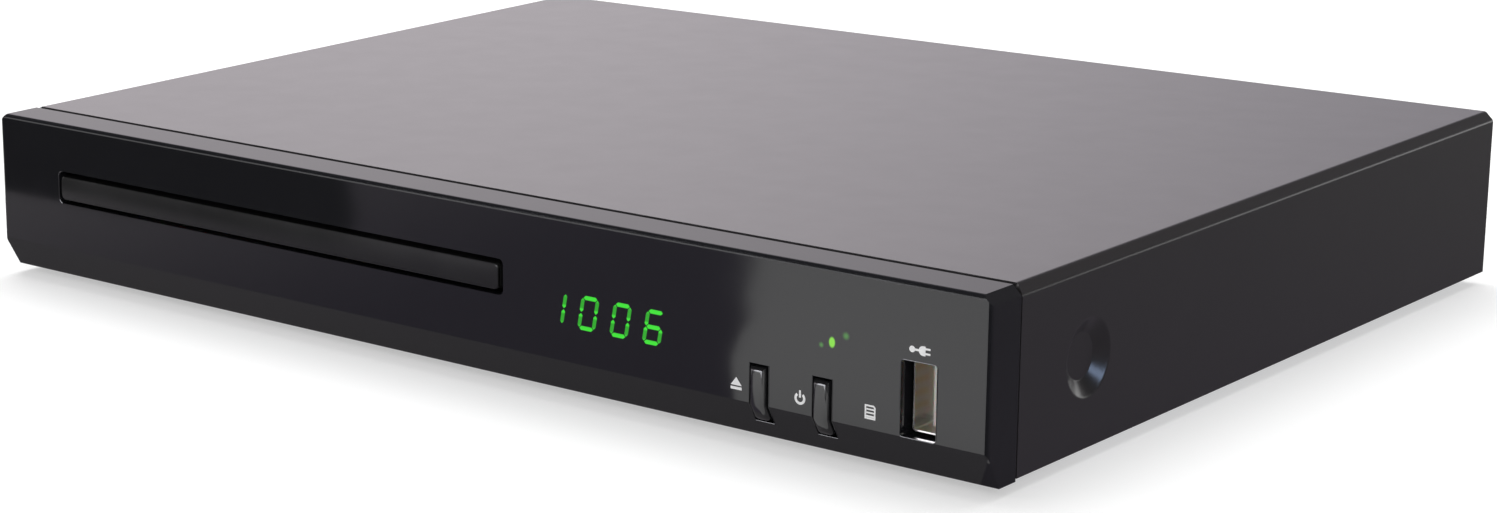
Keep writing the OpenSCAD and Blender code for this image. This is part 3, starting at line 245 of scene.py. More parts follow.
# Height of the cards on the floor, and how far they reach to the left and to the front
CARD_Z = 1.6 * MM
CARD_X = 0.6
CARD_FRONT = -0.3
# How far the chin's and the side's cards reach under the case, and the nearest they come to it
UNDER_X = 0.126
UNDER_Y = 0.03
CLEAR = 0.002


def floor_card(name, corners, *tones, lift=1):
    """A card just over the floor, 'lift' times its height; y is from the face."""
    studio_card(name, [(x, FACE_Y + y, lift * CARD_Z) for x, y in corners], *tones)


def make_floor_flags():
    """Cards that shade what the face, the chin and the right side mirror of the floor."""
    # Its edge is the soft line between the dark and the pale part of the face
    edge = [(-0.001, -0.113), (0.004, -0.105), (0.016, -0.086), (0.025, -0.075), (0.029, -0.069),
            (0.033, -0.061), (0.037, -0.054), (0.043, -0.044), (0.049, -0.036), (0.062, -0.019),
            (0.069, -0.012), (0.08, -CLEAR)]
    corners = [(-CARD_X, -CLEAR), (-CARD_X, CARD_FRONT), (-0.06, CARD_FRONT), (-0.04, -0.16)]
    floor_card("floor_flag", corners + edge, (0.5, 0.47, 0.5), (0.16, 0.14, 0.19), "X",
               (0.55, 0.85))
    # The darkest part, over the tray
    edge = [(-0.128, -0.113), (-0.112, -0.098), (-0.097, -0.083), (-0.084, -0.068), (-0.1, -0.058),
            (-0.14, -0.05), (-0.19, -0.048), (-0.3, -0.06)]
    corners = [(-CARD_X, CARD_FRONT), (-0.15, CARD_FRONT), (-0.13, -0.16)]
    floor_card("floor_flag_far", corners + edge, BLACK, lift=2)
    floor_card("corner_flag", [(0.131, -0.004), (0.131, -0.03), (0.11, -0.6), (0.7, -0.6),
                               (0.7, -0.004)], (0.02, 0.02, 0.025))
    back = 0.8 - FACE_Y
    floor_card("right_floor_flag", [(UNDER_X, 0), (0.8, 0), (0.8, back), (UNDER_X, back)],
               (0.1, 0.09, 0.11), (0.12, 0.115, 0.12), "Y", (0, 0.4))
    floor_card("chin_flag", [(-0.2, -CLEAR), (UNDER_X, -CLEAR), (UNDER_X, UNDER_Y),
                             (-0.2, UNDER_Y)], (0.2, 0.19, 0.2))


# Heights of the standing cards: foot and tops of the strip of light over the horizon, top of
# the flags behind it and of the back card, and height of the flag overhead
HORIZON = 0.09
LEFT_STRIP_TOP = 0.3
STRIP_TOP = 0.6
FLAG_TOP = 1.1
SKY_Z = 1.9


def upright(first, second, low, high):
    """Corners of a standing card between two places on the floor."""
    return [(*first, low), (*second, low), (*second, high), (*first, high)]


def make_front_cards():
    """Dark cards round the front, with a strip of light over the horizon."""
    left = (-1.4, -0.5)
    right = (0.1, -1.5)
    # The bright part of the strip starts here, a little nearer than the flag
    strip = (-0.75, -0.9)
    crown = [(0.25, -0.5, 1.6), (-0.55, 0.05, 1.6)]
    studio_card("horizon_strip", upright(strip, right, HORIZON, STRIP_TOP), (7.5, 7.5, 8))
    studio_card("horizon_left", upright(left, strip, HORIZON, LEFT_STRIP_TOP), (1.5, 1.4, 1.5))
    studio_card("front_flag", upright(left, right, LEFT_STRIP_TOP, FLAG_TOP), BLACK)
    studio_card("upper_flag", [(*left, FLAG_TOP), (*right, FLAG_TOP)] + crown, BLACK)


def make_side_and_back_cards():
    """A flag and a small cool box at the right, a grey card behind, and flags over them."""
    dark = (0.03, 0.03, 0.035)
    studio_card("right_flag", upright((0.9, -0.5), (0.9, 1.1), 0, 0.8), (0.05, 0.05, 0.05))
    studio_card("right_box", upright((0.88, 0.02), (0.88, 0.2), 0.1, 0.32), (2.6, 3.4, 5.0))
    back_left = (-1.81, 0.85)
    back_right = (-0.17, 1.99)
    studio_card("back_card", upright(back_left, back_right, 0, FLAG_TOP), (0.8, 0.75, 0.79),
                (0.4, 0.38, 0.42), "X", (0.35, 0.9))
    front_sky = (-1.3, -0.6, SKY_Z)
    back_sky = (-0.5, 1.3, SKY_Z)
    studio_card("sky_flag", [(1.3, -0.6, SKY_Z), front_sky, back_sky, (1.3, 1.3, SKY_Z)], dark)
    studio_card("back_left_flag", [(*back_left, FLAG_TOP), (*back_right, FLAG_TOP), back_sky,
                                   front_sky], dark)
    studio_card("left_flag", [(-1.4, -0.5, FLAG_TOP), (*back_left, FLAG_TOP), front_sky], dark)
    studio_card("rear_right_flag", [(-0.1, 1.35, 0.25), (1.3, 1.0, 0.25), (1.3, 0.9, SKY_Z),
                                    back_sky], (0.1, 0.095, 0.1))


# ---- Finishes ----

# Turns the size of one band in metres into the wave texture's scale
WAVE_SCALE = 0.3142
# The part of a noise's range that its values seldom leave
NOISE_SPAN = (0.3, 0.7)
# Size in mm of the patches in which the roughness changes
ROUGH_PATCH = 9
SMOOTHEST = 0.02
GLOW_DEPTH = 0.8 * MM
MICROMETRE = 1e-6


def add_noise(tree, vector, size_mm, detail):
    """Cloudy noise with features of a size."""
    node = tree.nodes.new("ShaderNodeTexNoise")
    node.inputs["Scale"].default_value = 1 / (size_mm * MM)
    node.inputs["Detail"].default_value = detail
    tree.links.new(vector, node.inputs["Vector"])
    return node.outputs["Fac"]


def add_bands(tree, vector, size_mm, axis):
    """Soft bands across an axis, such as tape layers or the wires in a flat cable."""
    node = tree.nodes.new("ShaderNodeTexWave")
    node.bands_direction = axis
    node.inputs["Scale"].default_value = WAVE_SCALE / (size_mm * MM)
    node.inputs["Distortion"].default_value = 0.15
    tree.links.new(vector, node.inputs["Vector"])
    return node.outputs["Fac"]


def add_cells(tree, vector, size_mm):
    """Flat grains of random tone, as on zinc plating."""
    node = tree.nodes.new("ShaderNodeTexVoronoi")
    node.inputs["Scale"].default_value = 1 / (size_mm * MM)
    tree.links.new(vector, node.inputs["Vector"])
    return node.outputs["Color"]


def add_traces(tree, vector, size_mm):
    """Right-angled copper tracks that show through a board's lacquer."""
    node = tree.nodes.new("ShaderNodeTexBrick")
    node.inputs["Scale"].default_value = 1 / (size_mm * MM)
    node.inputs["Mortar Size"].default_value = 0.06
    node.inputs["Color1"].default_value = (0, 0, 0, 1)
    node.inputs["Color2"].default_value = (0.25, 0.25, 0.25, 1)
    node.inputs["Mortar"].default_value = (1, 1, 1, 1)
    tree.links.new(vector, node.inputs["Vector"])
    return node.outputs["Color"]


PATTERNS = {"bands_x": lambda tree, vector, size: add_bands(tree, vector, size, "X"),
            "bands_z": lambda tree, vector, size: add_bands(tree, vector, size, "Z"),
            "cells": add_cells, "traces": add_traces}


def mix_colours(tree, factor, first, second):
    """A colour between two, each of them fixed or from a socket."""
    node = tree.nodes.new("ShaderNodeMix")
    node.data_type = "RGBA"
    for name, colour in (("A", first), ("B", second)):
        if isinstance(colour, bpy.types.NodeSocket):
            tree.links.new(colour, node.inputs[name])
        else:
            node.inputs[name].default_value = (*colour, 1)
    tree.links.new(factor, node.inputs["Factor"])
    return node.outputs["Result"]


def finish(name, base, rough, metallic=0.0, ior=1.5, coat=0.0, coat_rough=0.08, mottle=0.0,
           cloud=24, grain=0.0, grain_size=0.4, wave=0.0, wave_size=6.0, wear=0.0,
           stretch=(1, 1, 1), pattern=None, pattern_size=2.0, pattern_colour=None, glow=0.0):
    """A plastic, paint or metal: its colour mottled, its roughness uneven, its surface grained.

    mottle and wear are shares, grain and wave are heights in micrometres, and sizes are in mm.
    glow is the share of light that comes back from under the surface.
    """
    material = new_material(name)
    tree = material.node_tree
    shader = tree.nodes["Principled BSDF"]
    shader.inputs["Metallic"].default_value = metallic
    shader.inputs["IOR"].default_value = ior
    shader.inputs["Coat Weight"].default_value = coat
    shader.inputs["Coat Roughness"].default_value = coat_rough
    if glow:
        shader.inputs["Subsurface Weight"].default_value = glow
        shader.inputs["Subsurface Scale"].default_value = GLOW_DEPTH
    place = tree.nodes.new("ShaderNodeTexCoord")
    mapping = tree.nodes.new("ShaderNodeMapping")
    mapping.inputs["Scale"].default_value = stretch
    tree.links.new(place.outputs["Object"], mapping.inputs["Vector"])
    vector = mapping.outputs["Vector"]

    dark = [c * (1 - mottle) for c in base]
    pale = [min(1, c * (1 + mottle)) for c in base]
    colour = mix_colours(tree, add_noise(tree, vector, cloud, 4), dark, pale)
    if pattern:
        marks = PATTERNS[pattern](tree, vector, pattern_size)
        colour = mix_colours(tree, marks, colour, pattern_colour)
    tree.links.new(colour, shader.inputs["Base Color"])

    level = tree.nodes.new("ShaderNodeMapRange")
    level.inputs["From Min"].default_value, level.inputs["From Max"].default_value = NOISE_SPAN
    level.inputs["To Min"].default_value = max(SMOOTHEST, rough * (1 - wear))
    level.inputs["To Max"].default_value = min(1, rough * (1 + wear))
    tree.links.new(add_noise(tree, vector, ROUGH_PATCH, 6), level.inputs["Value"])
    tree.links.new(level.outputs["Result"], shader.inputs["Roughness"])

    normal = None
    for height, size in ((wave, wave_size), (grain, grain_size)):
        if height:
            relief = tree.nodes.new("ShaderNodeBump")
            relief.inputs["Distance"].default_value = height * MICROMETRE
            tree.links.new(add_noise(tree, vector, size, 2), relief.inputs["Height"])
            if normal:
                tree.links.new(normal, relief.inputs["Normal"])
            normal = relief.outputs["Normal"]
    if normal:
        tree.links.new(normal, shader.inputs["Normal"])
        if coat:
            tree.links.new(normal, shader.inputs["Coat Normal"])
    return material


def lit_bars(name, colour, strength, base):
    """Lit digits whose level bars are brighter than their upright ones."""
    material = finish(name, base, 0.25, mottle=0.1, wear=0.1)
    tree = material.node_tree
    shader = tree.nodes["Principled BSDF"]
    # Distance from the nearest of the three rows of level bars, as a share of a digit's height
    away = tree.nodes.new("ShaderNodeMath")
    away.operation = "PINGPONG"
    away.inputs[1].default_value = 0.25
    tree.links.new(split_place(tree, "Generated")["Z"], away.inputs[0])
    level = add_fade(tree, away.outputs["Value"], (0.09, 0.15), (strength, 0.45 * strength))
    tree.links.new(level, shader.inputs["Emission Strength"])
    shader.inputs["Emission Color"].default_value = (*colour, 1)
    return material


def fading_glow(name, colour, strength, span, stretch=(1, 1)):
    """A spot of light under the gloss that fades towards the rim of its piece, seen along y."""
    material = finish(name, BLACK_PANEL, **GLOSS)
    tree = material.node_tree
    shader = tree.nodes["Principled BSDF"]
    place = tree.nodes.new("ShaderNodeTexCoord")
    flat = tree.nodes.new("ShaderNodeVectorMath")
    flat.operation = "MULTIPLY"
    flat.inputs[1].default_value = (stretch[0], 0, stretch[1])
    tree.links.new(place.outputs["Generated"], flat.inputs[0])
    away = tree.nodes.new("ShaderNodeVectorMath")
    away.operation = "DISTANCE"
    away.inputs[1].default_value = (stretch[0] / 2, 0, stretch[1] / 2)
    tree.links.new(flat.outputs["Vector"], away.inputs[0])
    level = add_fade(tree, away.outputs["Value"], span, (strength, 0))
    tree.links.new(level, shader.inputs["Emission Strength"])
    shader.inputs["Emission Color"].default_value = (*colour, 1)
    return material


def three_colours(name, places, colours):
    """Moulding whose colour changes with x, for a row of differently coloured inserts."""
    material = finish(name, colours[0], 0.35, mottle=0.06, wear=0.2)
    tree = material.node_tree
    level = tree.nodes.new("ShaderNodeMapRange")
    level.inputs["From Min"].default_value, level.inputs["From Max"].default_value = places
    tree.links.new(split_place(tree, "Object")["X"], level.inputs["Value"])
    ramp = tree.nodes.new("ShaderNodeValToRGB")
    ramp.color_ramp.interpolation = "CONSTANT"
    stops = ramp.color_ramp.elements
    stops[0].color = (*colours[0], 1)
    stops[1].position = 1 / 3
    stops[1].color = (*colours[1], 1)
    stops.new(2 / 3).color = (*colours[2], 1)
    tree.links.new(level.outputs["Result"], ramp.inputs["Fac"])
    tree.links.new(ramp.outputs["Color"], tree.nodes["Principled BSDF"].inputs["Base Color"])
    return material


BLACK_PANEL = (0.011, 0.011, 0.013)
GLOSS = dict(rough=0.1, ior=1.59, mottle=0.12, wave=10, wave_size=12, wear=0.15)

# The plain finishes: the record's material slots that make_finishes does not add, and the print
FINISHES = {
    "panel_gloss": dict(base=BLACK_PANEL, **GLOSS),
    "display_tint": dict(base=BLACK_PANEL, **GLOSS),
    "cap_plastic": dict(base=(0.013, 0.013, 0.014), rough=0.13, ior=1.7, mottle=0.1, wear=0.2,
                        grain=3, grain_size=0.5),
    "black_moulding": dict(base=(0.012, 0.012, 0.012), rough=0.45, mottle=0.1, grain=12,
                           grain_size=0.5, wear=0.2),
    "tray_plastic": dict(base=(0.014, 0.014, 0.014), rough=0.22, mottle=0.1, grain=3,
                         grain_size=0.35, wear=0.1),
    "cover_paint": dict(base=(0.019, 0.017, 0.018), rough=0.3, coat=1.0, coat_rough=0.22,
                        mottle=0.08, grain=5, grain_size=0.5, wear=0.04),
    "zinc_steel": dict(base=(0.5, 0.51, 0.54), rough=0.34, metallic=1, mottle=0.12, wear=0.3,
                       pattern="cells", pattern_size=7, pattern_colour=(0.6, 0.62, 0.66)),
    "socket_metal": dict(base=(0.86, 0.83, 0.8), rough=0.2, metallic=1, mottle=0.08, wear=0.4,
                         cloud=5, glow=0.2),
    "gold_contact": dict(base=(0.8, 0.66, 0.42), rough=0.3, metallic=1, mottle=0.1, wear=0.3),
    "tongue_plastic": dict(base=(0.8, 0.76, 0.71), rough=0.4, mottle=0.06, wear=0.2, cloud=6,
                           glow=0.6),
    "board_green": dict(base=(0.015, 0.12, 0.035), rough=0.35, mottle=0.3, wear=0.2, grain=15,
                        grain_size=1.2, pattern="traces", pattern_size=5,
                        pattern_colour=(0.05, 0.26, 0.09)),
    "board_tan": dict(base=(0.42, 0.28, 0.12), rough=0.5, mottle=0.14, wear=0.2, cloud=6,
                      grain=10, grain_size=0.8, stretch=(1, 0.3, 1)),
    "chip_epoxy": dict(base=(0.018, 0.018, 0.019), rough=0.5, mottle=0.12, wear=0.15, grain=8,
                       grain_size=0.2, cloud=8),
    "heat_sink_aluminium": dict(base=(0.66, 0.67, 0.69), rough=0.32, metallic=1, mottle=0.08,
                                wear=0.3, stretch=(1, 0.06, 1), grain=6, grain_size=0.3),
    "loader_plastic": dict(base=(0.03, 0.03, 0.032), rough=0.42, mottle=0.12, wear=0.15,
                           grain=14, grain_size=0.6),
    "gear_plastic": dict(base=(0.8, 0.78, 0.7), rough=0.38, mottle=0.05, wear=0.2, cloud=10,
                         glow=0.3),
    "motor_can": dict(base=(0.62, 0.62, 0.64), rough=0.28, metallic=1, mottle=0.1, wear=0.35,
                      stretch=(1, 1, 0.1), grain=4, grain_size=0.4),
    "rod_steel": dict(base=(0.74, 0.74, 0.76), rough=0.14, metallic=1, mottle=0.06, wear=0.3,
                      stretch=(1, 0.1, 1)),
    "rubber_black": dict(base=(0.016, 0.016, 0.016), rough=0.75, mottle=0.15, wear=0.1,
                         grain=20, grain_size=0.5),
    "bush_rubber": dict(base=(0.14, 0.05, 0.035), rough=0.7, mottle=0.15, wear=0.1, grain=15,
                        grain_size=0.4),
    "pickup_alloy": dict(base=(0.42, 0.42, 0.44), rough=0.45, metallic=1, mottle=0.12,
                         wear=0.25, grain=25, grain_size=0.7, cloud=8),
    "lens_plastic": dict(base=(0.02, 0.018, 0.026), rough=0.06, ior=1.55, mottle=0.2, wear=0.2,
                         coat=1.0, coat_rough=0.03),
    "pulley_brass": dict(base=(0.72, 0.5, 0.2), rough=0.22, metallic=1, mottle=0.08, wear=0.3,
                         stretch=(1, 1, 0.1)),
    "magnet_steel": dict(base=(0.32, 0.32, 0.34), rough=0.3, metallic=1, mottle=0.1, wear=0.3,
                         grain=6, grain_size=0.5),
    "transformer_tape": dict(base=(0.66, 0.42, 0.05), rough=0.36, mottle=0.1, wear=0.25,
                             cloud=6, pattern="bands_z", pattern_size=1.6,
                             pattern_colour=(0.78, 0.55, 0.09)),
    "capacitor_sleeve": dict(base=(0.02, 0.025, 0.07), rough=0.3, mottle=0.1, wear=0.2,
                             coat=0.5, coat_rough=0.12, cloud=5),
    "filter_yellow": dict(base=(0.62, 0.5, 0.1), rough=0.42, mottle=0.08, wear=0.2, cloud=6,
                          grain=8, grain_size=0.5),
    "ribbon_film": dict(base=(0.72, 0.72, 0.68), rough=0.4, mottle=0.04, wear=0.15,
                        pattern="bands_x", pattern_size=1.0,
                        pattern_colour=(0.5, 0.51, 0.52)),
    "screw_black": dict(base=(0.02, 0.02, 0.021), rough=0.3, metallic=0.4, mottle=0.15,
                        wear=0.3, cloud=2, grain=6, grain_size=0.3),
    "print_white": dict(base=(0.86, 0.86, 0.86), rough=0.5, mottle=0.04, wear=0.1, cloud=1.5),
}


def make_finishes():
    """All finishes by name: the record's slots, and the faint spots beside the light, which are
    painted reflections of its light.
    """
    made = {name: finish(name, **recipe) for name, recipe in FINISHES.items()}
    made["display_glow"] = lit_bars("display_glow", (0.045, 0.72, 0.03), 0.95, (0.01, 0.1, 0.01))
    made["led_glow"] = fading_glow("led_glow", (0.24, 0.8, 0.03), 0.85, (0.26, 0.46),
                                   (1.45, 0.95))
    # Painted reflection: faint green emission that stands in for the status light reflected inside
    # the panel, not a lamp
    made["led_painted_reflection"] = fading_glow("led_painted_reflection", (0.12, 0.6, 0.07), 0.35, (0, 0.44))
    jack_low, jack_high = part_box("phono_inserts")
    yellow, white, red = (0.75, 0.6, 0.02), (0.8, 0.8, 0.78), (0.6, 0.02, 0.02)
    made["insert_plastic"] = three_colours("insert_plastic", (jack_low.x, jack_high.x),
                                           (yellow, white, red))
    return made


# ---- Mesh helpers ----

def make_piece(name, bm, finish_name, body, smooth_deg=35):
    """Turns bmesh geometry into a piece of the object that rides on a body."""
    bmesh.ops.recalc_face_normals(bm, faces=bm.faces)
    mesh = bpy.data.meshes.new(name)
    bm.to_mesh(mesh)
    bm.free()
    mesh.materials.append(finishes[finish_name])
    for face in mesh.polygons:
        face.use_smooth = True
    mesh.set_sharp_from_angle(angle=math.radians(smooth_deg))
    obj = bpy.data.objects.new(name, mesh)
    bpy.context.scene.collection.objects.link(obj)
    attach(obj, body)
    return obj


def round_loop(x0, z0, x1, z1, radius, steps=6):
    """Points round a rectangle with round corners, from its lower right corner."""
    centres = [(x1 - radius, z0 + radius, -90), (x1 - radius, z1 - radius, 0),
               (x0 + radius, z1 - radius, 90), (x0 + radius, z0 + radius, 180)]
    points = []
    for x, z, start in centres:
        for i in range(steps + 1):
            turn = math.radians(start + 90 * i / steps)
            points.append((x + radius * math.cos(turn), z + radius * math.sin(turn)))
    return points


def on_face(x, z):
    """The point of the front at x and at height z over the panel's underside, chin included."""
    back = CHIN_BACK * (CHIN_H - z) / CHIN_H if z < CHIN_H else 0
    return Vector((x, FACE_Y + back, PANEL_Z + z))


def add_tube(bm, points, radius, closed=True, sides=8):
    """A round bead along points, its rings square to the path."""
    count = len(points)
    rings = []
    for i, point in enumerate(points):
        before = points[i - 1] if closed or i else point
        after = points[(i + 1) % count] if closed or i < count - 1 else point
        along = (after - before).normalized()
        across = along.cross(Vector((0, 1, 0))).normalized()
        over = along.cross(across)
        rings.append([bm.verts.new(point + radius * (math.cos(a) * across + math.sin(a) * over))
                      for a in (2 * math.pi * k / sides for k in range(sides))])
    for i in range(count if closed else count - 1):
        first, second = rings[i], rings[(i + 1) % count]
        for k in range(sides):
            bm.faces.new([first[k], first[(k + 1) % sides], second[(k + 1) % sides], second[k]])
    if not closed:
        bm.faces.new(rings[0])
        bm.faces.new(rings[-1])


def add_solid(bm, first, second):
    """A closed solid between two loops of as many points."""
    first = [bm.verts.new(p) for p in first]
    second = [bm.verts.new(p) for p in second]
    bm.faces.new(first)
    bm.faces.new(second)
    for i in range(len(first)):
        j = (i + 1) % len(first)
        bm.faces.new([first[i], first[j], second[j], second[i]])


def add_prism(bm, outline, depth, thick):
    """A flat outline in x and z, from 'depth' in front of the face, 'thick' deep."""
    add_solid(bm, [(x, FACE_Y - depth, PANEL_Z + z) for x, z in outline],
              [(x, FACE_Y - depth + thick, PANEL_Z + z) for x, z in outline])


def add_box(bm, low, high):
    """A plain box between two corners."""
    made = bmesh.ops.create_cube(bm, size=1)
    middle = (Vector(low) + Vector(high)) / 2
    size = Vector(high) - Vector(low)
    for vert in made["verts"]:
        vert.co = Vector(vert.co[i] * size[i] + middle[i] for i in range(3))


def arc_points(x, z, radius, start, end, steps):
    """Points of an arc between two angles in degrees."""
    turns = [math.radians(start + (end - start) * i / steps) for i in range(steps + 1)]
    return [(x + radius * math.cos(turn), z + radius * math.sin(turn)) for turn in turns]


# ---- Pieces ----

BUTTONS = {"eject_button": "eject", "power_button": "power"}
# A button: the cap reaches back through its flange, which lies from CAP_ROOT to CAP_BACK
# behind the face, and the stem follows
CAP_W = 3.4 * MM
CAP_BEVEL = 1.0 * MM
CAP_ROOT = 2.6 * MM
CAP_BACK = 4.1 * MM
# Only edges of the cap that lie farther out of the root than this are bevelled
BEVEL_END = 0.5 * MM
STEM_HALF = 1.4 * MM
STEM_TALL = 1.8 * MM
STEM_Z = 10.4 * MM
OVERLAP = 0.1 * MM
# Coordinates nearer to each other than this are the same
TINY = 1e-6


def make_button(node):
    """A cap that wraps from face to chin, with soft edges, its flange and its stem behind."""
    low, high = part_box(node)
    x = (low.x + high.x) / 2
    front, top, bottom = low.y, high.z, low.z
    chin = PANEL_Z + CHIN_H
    foot = front + (chin - bottom) * CHIN_BACK / CHIN_H
    root = FACE_Y + CAP_ROOT
    back = FACE_Y + CAP_BACK
    side = [(root, top), (front, top), (front, chin), (foot, bottom), (back, bottom),
            (back, top)]
    bm = bmesh.new()
    add_solid(bm, [(x - CAP_W / 2, y, z) for y, z in side],
              [(x + CAP_W / 2, y, z) for y, z in side])

    def outside(vert):
        return vert.co.y < root - BEVEL_END or vert.co.z < chin

    def on_crease(vert):
        return abs(vert.co.y - front) < TINY and abs(vert.co.z - chin) < TINY

    chosen = [e for e in bm.edges
              if all(map(outside, e.verts)) and not all(map(on_crease, e.verts))]
    bmesh.ops.bevel(bm, geom=chosen, offset=CAP_BEVEL, offset_type="OFFSET", segments=6,
                    profile=0.5, affect="EDGES", clamp_overlap=True)
    stem = PANEL_Z + STEM_Z
    add_box(bm, (low.x, root, stem - STEM_TALL), (high.x, back, stem + STEM_TALL))
    add_box(bm, (x - STEM_HALF, back - OVERLAP, stem - STEM_TALL),
            (x + STEM_HALF, high.y, stem + STEM_TALL))
    cap = make_piece(node + "_cap", bm, "cap_plastic", BUTTONS[node])
    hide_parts(node)


# Openings of the front and the beads round them
BUTTON_GAP = 0.5 * MM
RIM_R = 0.1 * MM
SLOT_RIM_R = 0.16 * MM
SLOT_GAP = 1.1 * MM
SLOT_R = 1.2 * MM
PORT_W = 7.6 * MM
PORT_H = 14.4 * MM
PORT_R = 0.6 * MM


def middle_of(node):
    """The middle of a control in x, and its height over the panel's underside."""
    low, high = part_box(node)
    return (low.x + high.x) / 2, (low.z + high.z) / 2 - PANEL_Z


def make_rims():
    """Fine beads at the slot's left end and round the button holes and the data aperture."""
    bm = bmesh.new()
    slot = round_loop(TRAY_LOW.x - SLOT_GAP, TRAY_LOW.z - SLOT_GAP - PANEL_Z,
                      TRAY_HIGH.x + SLOT_GAP, TRAY_HIGH.z + SLOT_GAP - PANEL_Z, SLOT_R)
    left_end = slot[len(slot) // 2:]
    add_tube(bm, [on_face(x, z) for x, z in left_end], SLOT_RIM_R, closed=False)
    x, z = middle_of("usb_shell")
    port = round_loop(x - PORT_W / 2, z - PORT_H / 2, x + PORT_W / 2, z + PORT_H / 2, PORT_R)
    add_tube(bm, [on_face(px, pz) for px, pz in port], RIM_R)
    for node in BUTTONS:
        low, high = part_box(node)
        x = (low.x + high.x) / 2
        half = CAP_W / 2 + BUTTON_GAP
        z0 = low.z - BUTTON_GAP - PANEL_Z
        z1 = high.z + BUTTON_GAP - PANEL_Z
        loop = [(x + half, z0), (x + half, CHIN_H), (x + half, z1), (x - half, z1),
                (x - half, CHIN_H), (x - half, z0)]
        add_tube(bm, [on_face(px, pz) for px, pz in loop], RIM_R)
    make_piece("front_rims", bm, "panel_gloss", "case")


TRAY_ROUND = 0.8 * MM
FASCIA_PROUD = 0.3 * MM
FASCIA_T = 0.6 * MM
FASCIA_BEVEL = 0.28 * MM


def make_tray_fascia():
    """The satin front of the tray, its edge rounded all round."""
    bm = bmesh.new()
    outline = round_loop(TRAY_LOW.x, TRAY_LOW.z - PANEL_Z, TRAY_HIGH.x, TRAY_HIGH.z - PANEL_Z,
                         TRAY_ROUND)
    add_prism(bm, outline, FASCIA_PROUD, FASCIA_T)
    front = [e for e in bm.edges if all(v.co.y < FACE_Y - FASCIA_PROUD / 2 for v in e.verts)]
    bmesh.ops.bevel(bm, geom=front, offset=FASCIA_BEVEL, segments=4, profile=0.5,
                    affect="EDGES")
    make_piece("tray_fascia", bm, "tray_plastic", "tray")


# Thickness of the print, and height of the row of signs over the panel's underside
PRINT_T = 0.03 * MM
SIGN_Z = 10.35 * MM


def add_stroke(bm, path, width, closed=False):
    """A printed line of even width along a path in x and z, its corners mitred."""
    points = [Vector(p) for p in path]
    count = len(points)
    edges = []
    for i, p in enumerate(points):
        ways = []
        if closed or i:
            ways.append((p - points[i - 1]).normalized())
        if closed or i < count - 1:
            ways.append((points[(i + 1) % count] - p).normalized())
        normals = [Vector((-w.y, w.x)) for w in ways]
        mitre = sum(normals, Vector((0, 0))).normalized()
        reach = mitre * width / 2 / mitre.dot(normals[0])
        corners = [p + reach, p - reach]
        edges.append([bm.verts.new((q.x, FACE_Y - proud, PANEL_Z + q.y))
                      for proud in (PRINT_T, 0) for q in corners])
    for i in range(count if closed else count - 1):
        a, b = edges[i], edges[(i + 1) % count]
        for j, k in ((0, 1), (1, 3), (3, 2), (2, 0)):
            bm.faces.new([a[j], a[k], b[k], b[j]])
    if not closed:
        for end in (edges[0], edges[-1]):
            bm.faces.new([end[0], end[1], end[3], end[2]])


def in_mm(x, z, points):
    """Points given in mm round x and z."""
    return [(x + px * MM, z + pz * MM) for px, pz in points]


def add_open_sign(bm, x, z):
    """A triangle over a bar."""
    add_prism(bm, in_mm(x, z, [(-1.25, 0), (1.25, 0), (0, 1.6)]), PRINT_T, PRINT_T)
    add_stroke(bm, in_mm(x, z, [(-1.25, -0.55), (1.25, -0.55)]), 0.55 * MM)


def add_standby_sign(bm, x, z):
    """A ring with a gap at the top, and a bar in the gap."""
    add_stroke(bm, in_mm(x, z, arc_points(0, 0, 0.95, 128, 412, 24)), 0.5 * MM)
    add_stroke(bm, in_mm(x, z, [(0, 0.15), (0, 1.55)]), 0.42 * MM)


def add_card_sign(bm, x, z):
    """A card with a cut corner and three lines instead of letters."""
    for height, width in ((-0.81, 0.36), (-0.13, 0.3), (0.53, 0.3)):
        add_stroke(bm, in_mm(x, z, [(-0.85, height), (0.85, height)]), width * MM)
    add_stroke(bm, in_mm(x, z, [(-0.99, -1.19), (0.99, -1.19), (0.99, 0.9), (0.7, 1.19),
                                (-0.99, 1.19)]), 0.32 * MM, closed=True)


def add_plug_sign(bm, x, z):
    """A generic plug: a dot, its cord, a round head and two prongs."""
    add_prism(bm, in_mm(x, z, arc_points(0.55, 0, 0.6, 0, 345, 23)), PRINT_T, PRINT_T)
    add_stroke(bm, in_mm(x, z, [(1.1, 0), (1.9, 0)]), 0.42 * MM)
    head = arc_points(2.8, 0, 0.9, 90, 270, 10) + [(3.3, -0.9), (3.3, 0.9)]
    add_prism(bm, in_mm(x, z, head), PRINT_T, PRINT_T)
    for side in (-0.45, 0.45):
        add_stroke(bm, in_mm(x, z, [(3.3, side), (4.3, side)]), 0.36 * MM)


def make_symbols():
    """Printed signs beside the controls, each placed from its control."""
    bm = bmesh.new()
    eject_x = middle_of("eject_button")[0]
    power_x = middle_of("power_button")[0]
    port_x, port_z = middle_of("usb_shell")
    add_open_sign(bm, eject_x - 5.15 * MM, SIGN_Z - 0.35 * MM)
    add_standby_sign(bm, power_x - 4.85 * MM, SIGN_Z - 0.2 * MM)
    add_card_sign(bm, port_x - 10.05 * MM, SIGN_Z + 0.1 * MM)
    add_plug_sign(bm, port_x - 2.1 * MM, port_z + 9.4 * MM)
    make_piece("front_symbols", bm, "print_white", "case")


SPOT_T = 0.01 * MM
# Name, place from the status light and radius of each spot of painted reflection, in mm
SPOTS = (("led_painted_reflection_left", -2.3, -0.85, 0.8), ("led_painted_reflection_right", 3.0, 1.7, 1.1))


def make_led_painted_reflections():
    """Two faint spots beside the status light: painted reflections, green emission standing in for
    its light reflected inside the panel.
    """
    x, z = middle_of("led_lens")
    for name, dx, dz, radius in SPOTS:
        bm = bmesh.new()
        add_prism(bm, in_mm(x, z, arc_points(dx, dz, radius, 0, 345, 23)), SPOT_T, SPOT_T)
        make_piece(name, bm, "led_painted_reflection", "case")


